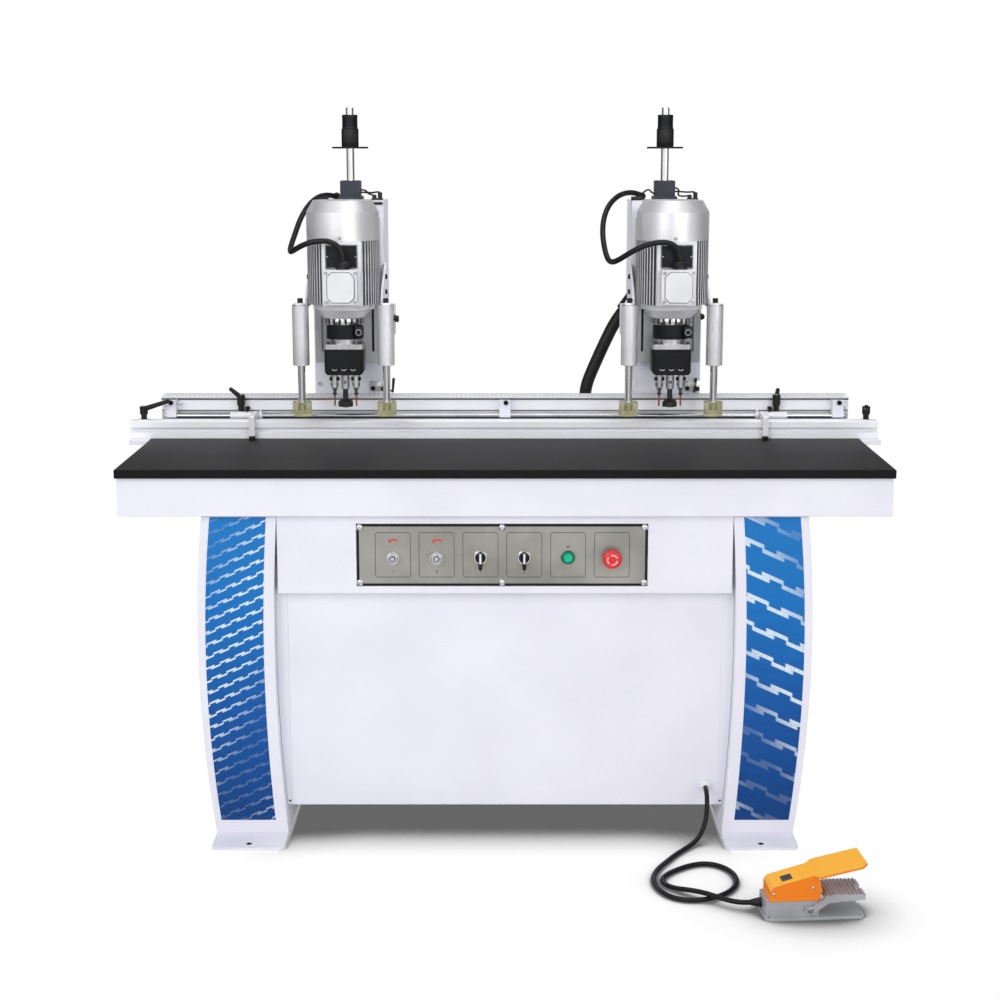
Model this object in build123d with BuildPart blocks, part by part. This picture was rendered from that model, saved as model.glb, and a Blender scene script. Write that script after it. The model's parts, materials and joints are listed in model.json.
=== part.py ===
"""Two-head hinge boring machine, in millimetres.

The origin is on the floor, at the centre of the four foot-bolt holes. +X runs along the table to the
operator's right, +Y points away from the operator and +Z points up.
"""

import os
from math import cos, pi, radians, sin, tan

from build123d import *

# Table and frame
TABLE_HALF = 800.0
TABLE_FRONT = -310.0
TABLE_BACK = 146.0
TABLE_TOP = 800.0
TABLE_THICK = 18.0
BOARD_GAP = 0.5
FRAME_HALF = 797.0
FRAME_FRONT = -300.0
FRAME_BACK = 340.0
FRAME_BOTTOM = 701.0
FRAME_TOP = TABLE_TOP - TABLE_THICK
FRAME_WALL = 4.0

# Legs and feet
LEG_FRONT = -280.0
LEG_TOP = 696.0
LEG_WALL = 3.0
LEG_OUTER_TOP = 629.0
LEG_OUTER_BELLY = (644.0, 360.0)
LEG_OUTER_FOOT = 616.0
LEG_INNER_TOP = 474.0
LEG_INNER_BELLY = (484.0, 380.0)
LEG_INNER_FOOT = 463.0
FOOT_DEPTH = 86.0
FOOT_THICK = 6.0
FOOT_CORNER = 12.0
FOOT_HOLE_R = 6.0
FOOT_HOLE_Y = 346.0
LEG_SPACER_R = 14.0
LEG_SPACER_STEP = (45.0, 25.0)

# Cabinet and control fascia
CABINET_HALF = 462.0
CABINET_FRONT = -250.0
CABINET_BOTTOM = 57.0
CABINET_WALL = 3.0
TIE_INSET = 60.0
TIE_HALF = 20.0
TIE_Z = (600.0, 630.0)
FASCIA_HALF = 473.5
FASCIA_BOTTOM = 533.0
FASCIA_TOP = 697.0
FASCIA_WALL = 3.0
FASCIA_FRONT_WALL = 4.0
PANEL_X = -6.0
PANEL_Z = 615.0
PANEL_SIZE = (594.0, 121.0)
PANEL_BORDER = 6.0
PANEL_CORNER = 2.0
PANEL_FACE = LEG_FRONT - 0.5
PANEL_THICK = 2.0
DEVICE_Z = 610.0
KNOB_X = (-233.0, -142.0)
SELECTOR_X = (-51.0, 40.0)
START_X = 131.0
ESTOP_X = 222.0
BEZEL_R = 15.0
BEZEL_RIM_R = 13.5
BEZEL_DEPTH = 5.0
SWITCH_R = 11.0
SWITCH_BACK = 20.0
SWITCH_FRONT = 7.0
KNOB_R = 12.8
KNOB_TEETH = 24
KNOB_TOOTH_R = 0.9
KNOB_GAP = 0.5
KNOB_DEPTH = 13.0
KNOB_CROWN = (2.5, 11.5, 9.5)
KNOB_SHAFT = (22.0, 5.0)
GRIP_TOP = 12.0
GRIP_BOTTOM = -24.0
GRIP_WIDTH = 8.0
GRIP_DEPTH = 11.0
MUSHROOM_R = 20.0
MUSHROOM_NECK_R = 17.0
MUSHROOM_Y = (10.0, 15.0, 26.0)
MUSHROOM_ROUND = 7.0
RUNNING = 0.08
FIXED_FIT = 0.05

# Rear beam, ruler rail and stop rod
BEAM_HALF = 785.0
BEAM_FRONT = 154.0
BEAM_BACK = 360.0
BEAM_TOP = 856.0
GUIDE_Y = (222.0, 328.0)
GUIDE_WIDTH = 16.0
GUIDE_TOP = 868.0
GUIDE_INSET = 15.0
BEAM_WALL = 6.0
BEAM_GROOVE_Z = (854.0, 856.0)
BEAM_GROOVE_DEPTH = 2.0
RAIL_FRONT = 150.0
RAIL_BACK = 186.0
RAIL_LIP = 883.0
RAIL_FRONT_TOP = 885.0
RAIL_BACK_TOP = 890.0
ROD_Y = 140.0
ROD_Z = 845.0
ROD_R = 5.5
ROD_INSET = 10.0
LUG_X = (-762.0, 0.0, 758.0)
LUG_WIDTH = 26.0
LUG_DEPTH = 24.0
LUG_Z = (842.0, 883.0)

# Fence
FENCE_LEFT = -847.0
FENCE_RIGHT = 842.0
FENCE_FRONT = 88.0
FENCE_BACK = 124.0
FENCE_TOP = 840.0
FENCE_CORNER = 1.5
FENCE_BOLT_X = 817.0
FENCE_BOLT_R = 4.0
FENCE_WASHER_R = 14.0
FENCE_WASHER = 2.0
T_SLOT_MOUTH = (8.0, 10.0)
T_SLOT_HEAD = (5.0, 18.0)
T_SLOT_HEAD_DEPTH = 7.0
EAR_REACH = 842.0
EAR_THICK = 8.0
EAR_HALF = 55.0
EAR_WEB = 6.0
EAR_WEB_DROP = 50.0
EAR_SLOT = 36.0
CROSS_MEMBER_X = (-545.0, 0.0, 545.0)
CROSS_MEMBER_HALF = 20.0

# Flip stops on the rod: the arm's middle, and the side the sleeve lies on
STOPS = {"left": (-569.0, -1), "right": (586.0, 1)}
ARM_WIDTH = 12.0
SLEEVE_GAP = 3.0
SLEEVE_LENGTH = 48.0
SLEEVE_R = 9.0
STOP_LEVER_STEP = 32.6
STOP_LEVER_REACH = {"left": (-21.5, -4.0, 18.7), "right": (6.0, 24.0, 13.5)}
STOP_KNOB_STEP = 18.0
STOP_KNOB_R = 5.0
STOP_SCREW_R = 2.5
STOP_STUD_R = 3.0
STOP_BOSS_R = 7.0
STOP_HUB_Z = (866.0, 893.0)
ARM_FRONT = 72.0
ARM_TIP = 7.0
ARM_HUB_R = 9.5
ARM_RISE = 9.0
ARM_DROP = 2.5
ARM_CUT = 4.0
ARM_GAP = 1.5
FENCE_LEVER_REACH = {"left": (54.0, 6.0, 17.0), "right": (-9.5, -48.0, 12.0)}
LEVER_FOOT_R = 6.5
LEVER_HUB_R = 9.0
LEVER_ARM_R = (6.0, 4.5)
LEVER_TIP_R = 4.8
LEVER_NUT = (7.0, 8.0)
LEVER_FLARE = 4.0
LEVER_GAP = 0.2

# Boring heads
HEADS = {"left": -356.0, "right": 368.0}
DRILL_Y = 62.0
COLUMN_HALF = 81.0
COLUMN_FRONT = 195.0
COLUMN_BACK = 355.0
COLUMN_BASE = 858.0
COLUMN_TOP = 1327.0
COLUMN_WALL = 5.0
COLUMN_FLOOR = 34.0
COLUMN_SLOT = (20.0, 90.0, 20.0)
LINEAR_HALF = 8.0
LINEAR_DEPTH = 14.0
LINEAR_BOTTOM = 963.0
SLIDING = 0.3
GUSSET_THICK = 5.0
GUSSET = [(245, 1098), (60, 1098), (60, 1118), (85, 1140), (190, 1185), (245, 1185)]
SEAT_REACH = 19.0
SEAT_Y = (40.0, 78.0)
SEAT_Z = (1040.0, 1106.0)
COLUMN_GLAND_R = 8.0
COLUMN_GLAND_LENGTH = 20.0
HOSE_FITTING = (42.0, 4.0)
HOSE_FITTING_Z = (1050.0, 1140.0)
FEED_Y = 290.0
FEED_ROD_R = 9.0
FEED_ROD_TOP = 1535.0
FEED_FLANGE = (27.0, 34.0, 8.0)
FEED_HEAD_HALF = 23.0
FEED_HEAD_TOP = 1370.0
FEED_BARREL_R = 25.0
FEED_BARREL_BOTTOM = 1225.0
DEPTH_STEPS = [(1443.0, 41.5), (1447.0, 19.0), (1487.5, 17.6), (1519.0, None)]
SLIDE_HALF = 74.0
SLIDE_FRONT = 146.0
SLIDE_BACK = 170.0
SLIDE_BOTTOM = 966.0
SLIDE_TOP = 1290.0
LINEAR_X = 50.0
SHOE_HALF = 17.0
SHOE_Z = ((1036.0, 1096.0), (1215.0, 1275.0))
SHOE_GAP = 3.0
SLIDE_SLOT_X = 57.0
SLIDE_SLOT_HALF = 2.5
SLIDE_SLOT_DEPTH = 12.0
SLIDE_SLOT_Z = (991.0, 1150.0)
BRACKET_HALF = 36.0
BRACKET_Z = (1034.0, 1060.0)
ARM_Z = (1180.0, 1210.0)
ARM_HALF = 15.0
CLAMP_X = 94.0
CLAMP_Y = 34.0
CLAMP_TUBE_R = 18.3
CLAMP_TUBE_Z = (974.0, 1106.0)
CLAMP_BORE_R = 16.0
CLAMP_CAPS = (12.0, 8.0)
CLAMP_CONE = (5.0, 13.0, 7.0)
CLAMP_FITTING = (15.0, 6.0)
CLAMP_ROD_R = 8.0
PISTON_R = 15.6
PISTON_Z = (1060.0, 1076.0)
PAD_R = 21.0
PAD_Z = (861.0, 893.0)
PAD_SOCKET = 13.0
PAD_EDGE = 1.2
SPINDLE_STEP = 24.0
GEAR_R = 11.7
GEAR_Z = (970.0, 990.0)
BIT_TIP = 878.0
BOX_Z = (952.0, 1009.0)
BOX_HALF = (43.0, 35.0)
BOX_CORNER = 8.0
BOX_CUT = 6.0
BOX_ROOM = (38.0, 16.0, 8.0, 6.0)
BOX_PLATE = (1.5, 11.0)
SPIGOT_R = 32.0
COLLAR_Z = (1031.0, 1063.0)
COLLAR_R = 40.0
RING_Z = (1063.0, 1078.0)
RING_R = 42.5
CHUCK_Z = (920.0, 948.0)
CHUCK_R = 8.0
CHUCK_NOSE = 12.0
BIT_R = 2.0
CENTER_CHUCK_Z = (918.0, 948.0)
CENTER_CHUCK_R = 9.0
CUP_R = 16.5
SHAFT_R = 8.0
SHAFT_ROOM = 0.4
SIDE_SHAFT_R = 5.0
ROTOR_R = 44.0
ROTOR_Z = (1130.0, 1225.0)
ROTOR_SHAFT_R = 10.0
MOTOR_Z = (1108.0, 1247.0)
MOTOR_R = 79.0
MOTOR_CORE_R = 71.0
MOTOR_BORE_R = 52.0
MOTOR_BORE_Z = (1114.0, 1239.0)
MOTOR_PAD = 86.0
FLANGE_Z = (1078.0, 1096.0)
FLANGE_R = (47.0, 62.0, 60.0)
FLANGE_LUG = (59.0, 8.0, 10.0, 14.0)
FIN_COUNT = 60
FIN_WIDTH = 2.6
COVER_R = 79.5
COVER_TOP_R = 64.5
COVER_SHOULDER = 1308.0
COVER_TOP = 1333.0
COVER_WALL = 2.0
COVER_SLOTS = 18
COVER_SLOT = (42.0, 30.0, 5.0)
FAN_R = 55.0
FAN_HUB_R = 14.0
FAN_Z = (1258.0, 1262.0, 1280.0)
FAN_BLADES = 7
TERMINAL_FRONT = -60.0
TERMINAL_WIDTH = 72.0
TERMINAL_SHIFT = 3.0
TERMINAL_CORNER = 6.0
TERMINAL_Z = (1114.0, 1189.0)
CABLE_GLAND_R = 14.0
CABLE_GLAND = (8.0, -40.0)
CABLE_GLAND_TOP = 1204.0

# Foot pedal, turned a little on the floor
PEDAL_CENTRE = (589.0, -675.0)
PEDAL_TURN = 4.5
PEDAL_HALF = (96.0, 39.0)
PEDAL_PLATE = 6.0
PEDAL_CORNER = 6.0
PEDAL_HOLE = (2.5, 7.0)
PEDAL_BODY = (104.0, 62.0)
PEDAL_BODY_X = -42.0
PEDAL_BODY_TOP = 37.0
GUARD_HALF = 32.0
GUARD_PLATE_HALF = 45.0
GUARD_PLATE_X = (-4.0, 100.0)
GUARD_PLATE_Z = (83.0, 106.0)
GUARD_PLATE_THICK = 4.0
GUARD_CUT = 12.0
TREADLE_HALF = 38.0
TREADLE_ARM = 6.0
TREADLE_RIBS = 10
RIB_FIRST = (24.0, 49.4)
RIB_STEP = 7.4
RIB_SIZE = 3.0
TREADLE_NOTCH = (82.0, 8.0)
PIVOT_R = 4.0
PEDAL_PIVOT = (-10.0, 20.0)
PEDAL_GLAND = (12.0, 18.0)
PEDAL_GLAND_LENGTH = 20.0
CABINET_GLAND = (11.0, 13.0, 11.0)

# Cords: diameters and hand-laid routes
CABLE_D = 12.0
HOSE_D = 28.0
FOOT_CORD_D = 10.0
HOSE_SOCKET_WALL = 5.0
CABLE_ROUTES = {
    "left": [
        (8, -40, 1204), (8, -40, 1217), (3, -41, 1232), (-7, -44, 1243), (-22, -47, 1249.5),
        (-42, -50, 1250), (-63, -49, 1246.5), (-83, -41, 1238), (-100, -24, 1228), (-110, 2, 1223),
        (-111, 32, 1236), (-105, 64, 1260), (-98, 97, 1288), (-88, 132, 1311), (-77, 166, 1327),
        (-66, 199, 1336), (-55, 229, 1339), (-46, 255, 1338), (-39.5, 276, 1336), (-36, 293, 1334.5),
        (-36, 309, 1334.5),
    ],
    "right": [
        (8, -40, 1204), (8, -40, 1215), (4, -41, 1229), (-5, -43.5, 1240), (-19, -47, 1246.5),
        (-38, -50, 1247.5), (-60, -51, 1243.5), (-84, -47, 1234), (-105, -38, 1221), (-122, -25, 1209),
        (-134, -8, 1202), (-142, 11, 1203.5), (-147, 29, 1215), (-151, 48, 1234), (-153.5, 73, 1261),
        (-150, 101, 1291), (-138, 133, 1318), (-119, 166, 1336), (-99, 198, 1344), (-80, 227, 1345),
        (-66, 251, 1342), (-55.5, 273, 1338), (-49, 292, 1334.5), (-49, 308, 1334.5),
    ],
}
HOSE_ROUTE = [
    (188, 260, 865), (188, 260, 882), (191, 260, 899), (197, 260, 918), (205, 260, 937), (214, 260, 958),
    (224.5, 260, 982), (236, 260, 1007), (247.5, 260, 1031), (260, 260, 1053), (274.5, 260, 1073),
]
FOOT_CORD_ROUTE = [
    (429, -268, 102), (429, -278, 102), (429, -291, 98.5), (429, -302, 90), (428.5, -309, 77.5),
    (427.5, -313.5, 62), (425, -318, 45), (419, -325, 29), (409.5, -335, 15.5), (395, -350, 7),
    (376.5, -373, 5.2), (354, -404, 5.2), (335, -437, 5.2), (315, -471, 5.2), (301, -506, 5.2),
    (297, -543, 5.2), (303, -579, 5.2), (319, -611, 5.2), (341, -629, 5.2), (367, -634, 5.2),
    (394, -629, 5.2), (420, -615, 5.2), (444, -592, 5.2), (461, -560, 5.2), (466, -525, 5.2),
    (458, -488, 5.2), (438, -461, 5.2), (411, -449, 5.2), (380, -459, 5.2), (350, -482, 5.2),
    (327, -506, 5.2), (315, -530, 5.2), (317, -556, 5.2), (336, -580, 7), (361, -601, 13),
    (386, -622, 17), (408.5, -641, 17.5), (427, -656.5, 17), (443, -667.5, 17.5), (459.4, -673.2, 18),
    (474.4, -672, 18),
]

os.makedirs("parts", exist_ok=True)


def save(piece, name):
    """Label a finished piece and write it."""
    piece.part.label = name
    export_step(piece.part, f"parts/{name}.step")


def block(x, y, z, mode=Mode.ADD):
    """A rectangular block between two limits on each axis."""
    with Locations(((x[0] + x[1]) / 2, (y[0] + y[1]) / 2, (z[0] + z[1]) / 2)):
        Box(abs(x[1] - x[0]), y[1] - y[0], z[1] - z[0], mode=mode)


def bar(start, end, radius, end_radius=None, mode=Mode.ADD):
    """A round bar from one point to another, tapered if a second radius is given."""
    direction = Vector(*end) - Vector(*start)
    on_start = (Align.CENTER, Align.CENTER, Align.MIN)
    with Locations(Plane(origin=start, z_dir=direction.normalized())):
        if end_radius is None:
            Cylinder(radius, direction.length, align=on_start, mode=mode)
        else:
            Cone(radius, end_radius, direction.length, align=on_start, mode=mode)


def post(x, y, z, radius, end_radius=None, mode=Mode.ADD):
    """An upright round bar between two heights."""
    bar((x, y, z[0]), (x, y, z[1]), radius, end_radius, mode=mode)


def corner_radii(route):
    """The largest arc that each corner of a cord's route has room for."""
    points = [Vector(*point) for point in route]
    radii = []
    for before, corner, after in zip(points, points[1:], points[2:]):
        turn = (corner - before).get_angle(after - corner)
        shorter = min((corner - before).length, (after - corner).length)
        radii.append(0.45 * shorter / tan(radians(turn) / 2))
    return radii


def cord(name, route, diameter):
    """A cord's tube: straight runs of its route joined by tangent arcs."""
    radii = corner_radii(route)
    with BuildPart() as tube:
        with BuildLine() as path:
            FilletPolyline(*route, radius=radii)
        spine = path.wire()
        with BuildSketch(Plane(origin=route[0], z_dir=spine % 0)):
            Circle(diameter / 2)
        sweep(path=spine)
    section = pi * diameter**2 / 4
    ratio = tube.part.volume / (section * spine.length)
    print(name, "length", round(spine.length), "volume ratio", round(ratio, 4))
    print("  radii", [round(radius) for radius in radii])
    save(tube, name)


# Legs: closed curved sheet boxes with bolt-down feet in front and behind
with BuildPart() as legs:
    for inset, mode in ((0.0, Mode.ADD), (LEG_WALL, Mode.SUBTRACT)):
        with BuildSketch(Plane.XZ.offset(-LEG_FRONT - inset)):
            with BuildLine():
                top = LEG_TOP - inset
                outer = ThreePointArc(
                    (LEG_OUTER_TOP - inset, top),
                    (LEG_OUTER_BELLY[0] - inset, LEG_OUTER_BELLY[1]),
                    (LEG_OUTER_FOOT - inset, inset),
                )
                inner = ThreePointArc(
                    (LEG_INNER_FOOT + inset, inset),
                    (LEG_INNER_BELLY[0] + inset, LEG_INNER_BELLY[1]),
                    (LEG_INNER_TOP + inset, top),
                )
                Line(outer @ 1, inner @ 0)
                Line(inner @ 1, outer @ 0)
            make_face()
        extrude(amount=2 * (LEG_FRONT + inset), mode=mode)
    foot_x = (LEG_INNER_FOOT + LEG_OUTER_FOOT) / 2
    foot_y = -LEG_FRONT + FOOT_DEPTH / 2
    with BuildSketch():
        with Locations((foot_x, -foot_y), (foot_x, foot_y)):
            RectangleRounded(LEG_OUTER_FOOT - LEG_INNER_FOOT, FOOT_DEPTH, FOOT_CORNER)
        with Locations((foot_x, LEG_FRONT), (foot_x, -LEG_FRONT)):
            Rectangle(LEG_OUTER_FOOT - LEG_INNER_FOOT, 2 * FOOT_CORNER)
        with Locations((foot_x, -FOOT_HOLE_Y), (foot_x, FOOT_HOLE_Y)):
            Circle(FOOT_HOLE_R, mode=Mode.SUBTRACT)
    extrude(amount=FOOT_THICK)
    for spacer_y in (LEG_FRONT + LEG_SPACER_STEP[1], -LEG_FRONT - LEG_SPACER_STEP[1]):
        for spacer_x in (foot_x - LEG_SPACER_STEP[0], foot_x + LEG_SPACER_STEP[0]):
            post(spacer_x, spacer_y, (LEG_TOP, FRAME_BOTTOM), LEG_SPACER_R)
    mirror(about=Plane.YZ)
save(legs, "legs")

# Cabinet: a closed sheet carcass, tied to the legs near its top
with BuildPart() as cabinet:
    block((-CABINET_HALF, CABINET_HALF), (CABINET_FRONT, -CABINET_FRONT), (CABINET_BOTTOM, FRAME_BOTTOM))
    block(
        (-CABINET_HALF + CABINET_WALL, CABINET_HALF - CABINET_WALL),
        (CABINET_FRONT + CABINET_WALL, -CABINET_FRONT - CABINET_WALL),
        (CABINET_BOTTOM + CABINET_WALL, FRAME_BOTTOM - CABINET_WALL),
        mode=Mode.SUBTRACT,
    )
    for side in (-1, 1):
        tie_x = (side * CABINET_HALF, side * (LEG_INNER_TOP + 2))
        for tie_y in (CABINET_FRONT + TIE_INSET, -CABINET_FRONT - TIE_INSET):
            block(tie_x, (tie_y - TIE_HALF, tie_y + TIE_HALF), TIE_Z)
save(cabinet, "cabinet")

# Control fascia: a shallow box with a recess and a window for the control panel
with BuildPart() as control_fascia:
    block((-FASCIA_HALF, FASCIA_HALF), (LEG_FRONT, CABINET_FRONT), (FASCIA_BOTTOM, FASCIA_TOP))
    block(
        (-FASCIA_HALF + FASCIA_WALL, FASCIA_HALF - FASCIA_WALL),
        (LEG_FRONT + FASCIA_FRONT_WALL, CABINET_FRONT + 1),
        (FASCIA_BOTTOM + FASCIA_WALL, FASCIA_TOP - FASCIA_WALL),
        mode=Mode.SUBTRACT,
    )
    recess_back = PANEL_FACE + PANEL_THICK
    window_back = LEG_FRONT + FASCIA_FRONT_WALL + 1
    for border, back in ((PANEL_BORDER, recess_back), (-PANEL_BORDER, window_back)):
        half_x = PANEL_SIZE[0] / 2 + border
        half_z = PANEL_SIZE[1] / 2 + border
        block(
            (PANEL_X - half_x, PANEL_X + half_x),
            (LEG_FRONT - 1, back),
            (PANEL_Z - half_z, PANEL_Z + half_z),
            mode=Mode.SUBTRACT,
        )
save(control_fascia, "control_fascia")


def switch_bar(x, back, front, radius, end_radius=None, mode=Mode.ADD):
    """A round bar on a switch's axis, by its depths behind (+) and in front of (-) the panel's face."""
    bar((x, PANEL_FACE + back, DEVICE_Z), (x, PANEL_FACE + front, DEVICE_Z), radius, end_radius, mode)


# Control plate with the fixed bezels of its switches
with BuildPart() as control_plate:
    with BuildSketch(Plane.XZ.offset(-PANEL_FACE)):
        with Locations((PANEL_X, PANEL_Z)):
            RectangleRounded(PANEL_SIZE[0], PANEL_SIZE[1], PANEL_CORNER)
    extrude(amount=-PANEL_THICK)
    for bezel_x in (*SELECTOR_X, START_X, ESTOP_X):
        switch_bar(bezel_x, 0, -BEZEL_DEPTH, BEZEL_R, BEZEL_RIM_R)
        switch_bar(bezel_x, PANEL_THICK + 1, -BEZEL_DEPTH - 1, SWITCH_R + RUNNING, mode=Mode.SUBTRACT)
    for hole_x in KNOB_X:
        switch_bar(hole_x, PANEL_THICK + 1, -1, KNOB_SHAFT[1] + RUNNING, mode=Mode.SUBTRACT)
save(control_plate, "control_plate")

# Pressure regulator knobs
for number, knob_x in enumerate(KNOB_X, start=1):
    with BuildPart() as pressure_knob:
        with BuildSketch(Plane.XZ.offset(-PANEL_FACE + KNOB_GAP)):
            with Locations((knob_x, DEVICE_Z)):
                Circle(KNOB_R)
                with PolarLocations(KNOB_R, KNOB_TEETH):
                    Circle(KNOB_TOOTH_R)
        extrude(amount=KNOB_DEPTH)
        knob_front = -KNOB_GAP - KNOB_DEPTH
        switch_bar(knob_x, knob_front, knob_front - KNOB_CROWN[0], KNOB_CROWN[1], KNOB_CROWN[2])
        switch_bar(knob_x, KNOB_SHAFT[0], -KNOB_GAP, KNOB_SHAFT[1])
    save(pressure_knob, f"pressure_knob_{number}")

# Selector switches: a round body with a long grip that points down
for number, selector_x in enumerate(SELECTOR_X, start=1):
    with BuildPart() as selector:
        switch_bar(selector_x, SWITCH_BACK, -SWITCH_FRONT, SWITCH_R)
        with BuildSketch(Plane.XZ.offset(-PANEL_FACE + SWITCH_FRONT)):
            with Locations((selector_x, DEVICE_Z + (GRIP_TOP + GRIP_BOTTOM) / 2)):
                SlotOverall(GRIP_TOP - GRIP_BOTTOM, GRIP_WIDTH, rotation=90)
        extrude(amount=GRIP_DEPTH)
    save(selector, f"selector_{number}")

# Start button
with BuildPart() as start_button:
    switch_bar(START_X, SWITCH_BACK, -SWITCH_FRONT, SWITCH_R)
    chamfer(start_button.faces().sort_by(Axis.Y)[0].edges(), 1)
save(start_button, "start_button")

# Emergency-stop mushroom
with BuildPart() as estop_button:
    switch_bar(ESTOP_X, SWITCH_BACK, -MUSHROOM_Y[1] + 1, SWITCH_R)
    switch_bar(ESTOP_X, -MUSHROOM_Y[0], -MUSHROOM_Y[1], MUSHROOM_NECK_R, MUSHROOM_R)
    switch_bar(ESTOP_X, -MUSHROOM_Y[1], -MUSHROOM_Y[2], MUSHROOM_R)
    fillet(estop_button.faces().sort_by(Axis.Y)[0].edges(), MUSHROOM_ROUND)
save(estop_button, "estop_button")

# Table frame: a closed sheet box with cross members and a slotted ear at each end for the fence
fence_y = (FENCE_FRONT + FENCE_BACK) / 2
inside_y = (FRAME_FRONT + FRAME_WALL, FRAME_BACK - FRAME_WALL)
ear_y = (fence_y - EAR_HALF, fence_y + EAR_HALF)
with BuildPart() as table_frame:
    block((-FRAME_HALF, FRAME_HALF), (FRAME_FRONT, FRAME_BACK), (FRAME_BOTTOM, FRAME_TOP))
    block(
        (-FRAME_HALF + FRAME_WALL, FRAME_HALF - FRAME_WALL),
        inside_y,
        (FRAME_BOTTOM + FRAME_WALL, FRAME_TOP - FRAME_WALL),
        mode=Mode.SUBTRACT,
    )
    for cross_x in CROSS_MEMBER_X:
        cross_width = (cross_x - CROSS_MEMBER_HALF, cross_x + CROSS_MEMBER_HALF)
        block(cross_width, inside_y, (FRAME_BOTTOM, FRAME_TOP))
    for side in (-1, 1):
        root_x = side * (TABLE_HALF + BOARD_GAP)
        web_x = side * (TABLE_HALF + EAR_WEB)
        block((root_x, side * EAR_REACH), ear_y, (TABLE_TOP - EAR_THICK, TABLE_TOP))
        block((root_x, web_x), ear_y, (FRAME_TOP - EAR_WEB, TABLE_TOP - 1))
        block((side * FRAME_HALF, web_x), ear_y, (FRAME_TOP - EAR_WEB_DROP, FRAME_TOP))
        with BuildSketch(Plane.XY.offset(TABLE_TOP + 1)):
            with Locations((side * FENCE_BOLT_X, fence_y)):
                SlotOverall(EAR_SLOT, 2 * FENCE_BOLT_R + 1, rotation=90)
        extrude(amount=-EAR_THICK - 2, mode=Mode.SUBTRACT)
save(table_frame, "table_frame")

# Table board
with BuildPart() as table_top:
    block((-TABLE_HALF, TABLE_HALF), (TABLE_FRONT, TABLE_BACK), (FRAME_TOP, TABLE_TOP))
    chamfer(table_top.edges().group_by(Axis.Z)[-1], 1)
save(table_top, "table_top")

# Rear beam: a box section with two guide ways on top, three rod lugs in front and the hose socket
with BuildPart() as rear_beam:
    block((-BEAM_HALF, BEAM_HALF), (BEAM_FRONT, BEAM_BACK), (FRAME_TOP, BEAM_TOP))
    block(
        (-BEAM_HALF + BEAM_WALL, BEAM_HALF - BEAM_WALL),
        (BEAM_FRONT + BEAM_WALL, BEAM_BACK - BEAM_WALL),
        (FRAME_TOP + BEAM_WALL, BEAM_TOP - BEAM_WALL),
        mode=Mode.SUBTRACT,
    )
    block(
        (-BEAM_HALF - 1, BEAM_HALF + 1),
        (BEAM_FRONT - 1, BEAM_FRONT + BEAM_GROOVE_DEPTH),
        BEAM_GROOVE_Z,
        mode=Mode.SUBTRACT,
    )
    for guide_y in GUIDE_Y:
        block(
            (-BEAM_HALF + GUIDE_INSET, BEAM_HALF - GUIDE_INSET),
            (guide_y - GUIDE_WIDTH / 2, guide_y + GUIDE_WIDTH / 2),
            (BEAM_TOP, GUIDE_TOP),
        )
    for lug_x in LUG_X:
        block((lug_x - LUG_WIDTH / 2, lug_x + LUG_WIDTH / 2), (BEAM_FRONT - LUG_DEPTH, BEAM_FRONT), LUG_Z)
    bar((-BEAM_HALF, ROD_Y, ROD_Z), (BEAM_HALF, ROD_Y, ROD_Z), ROD_R + FIXED_FIT, mode=Mode.SUBTRACT)
    hose_x, hose_y, hose_z = HOSE_ROUTE[0]
    post(hose_x, hose_y, (BEAM_TOP, hose_z), HOSE_D / 2 + HOSE_SOCKET_WALL)
save(rear_beam, "rear_beam")

# Ruler rail: a sloping scale with a front lip, on top of the beam's front edge
with BuildPart() as ruler_rail:
    with BuildSketch(Plane.YZ.offset(-BEAM_HALF)):
        with BuildLine():
            Polyline(
                (BEAM_FRONT, BEAM_TOP),
                (BEAM_FRONT, RAIL_LIP),
                (RAIL_FRONT, RAIL_LIP),
                (RAIL_FRONT, RAIL_FRONT_TOP),
                (RAIL_BACK, RAIL_BACK_TOP),
                (RAIL_BACK, BEAM_TOP),
                close=True,
            )
        make_face()
    extrude(amount=2 * BEAM_HALF)
save(ruler_rail, "ruler_rail")

# Stop rod
with BuildPart() as stop_rod:
    bar((-BEAM_HALF + ROD_INSET, ROD_Y, ROD_Z), (BEAM_HALF - ROD_INSET, ROD_Y, ROD_Z), ROD_R)
    chamfer(stop_rod.edges().filter_by(GeomType.CIRCLE), 1)
save(stop_rod, "stop_rod")

# Fence bar: an extruded section with a T-slot along its front
with BuildPart() as fence_bar:
    with BuildSketch(Plane.YZ.offset(FENCE_LEFT)):
        middle_z = (TABLE_TOP + FENCE_TOP) / 2
        with Locations((fence_y, middle_z)):
            RectangleRounded(FENCE_BACK - FENCE_FRONT, FENCE_TOP - TABLE_TOP, FENCE_CORNER)
        with Locations((FENCE_FRONT + T_SLOT_MOUTH[0] / 2, middle_z)):
            Rectangle(*T_SLOT_MOUTH, mode=Mode.SUBTRACT)
        with Locations((FENCE_FRONT + T_SLOT_HEAD_DEPTH, middle_z)):
            Rectangle(*T_SLOT_HEAD, mode=Mode.SUBTRACT)
    extrude(amount=FENCE_RIGHT - FENCE_LEFT)
    for bolt_x in (-FENCE_BOLT_X, FENCE_BOLT_X):
        washer_top = FENCE_TOP + FENCE_WASHER
        post(bolt_x, fence_y, (FENCE_TOP, washer_top), FENCE_WASHER_R)
        post(bolt_x, fence_y, (TABLE_TOP - 1, washer_top + 1), FENCE_BOLT_R + RUNNING, mode=Mode.SUBTRACT)
save(fence_bar, "fence_bar")


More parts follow.
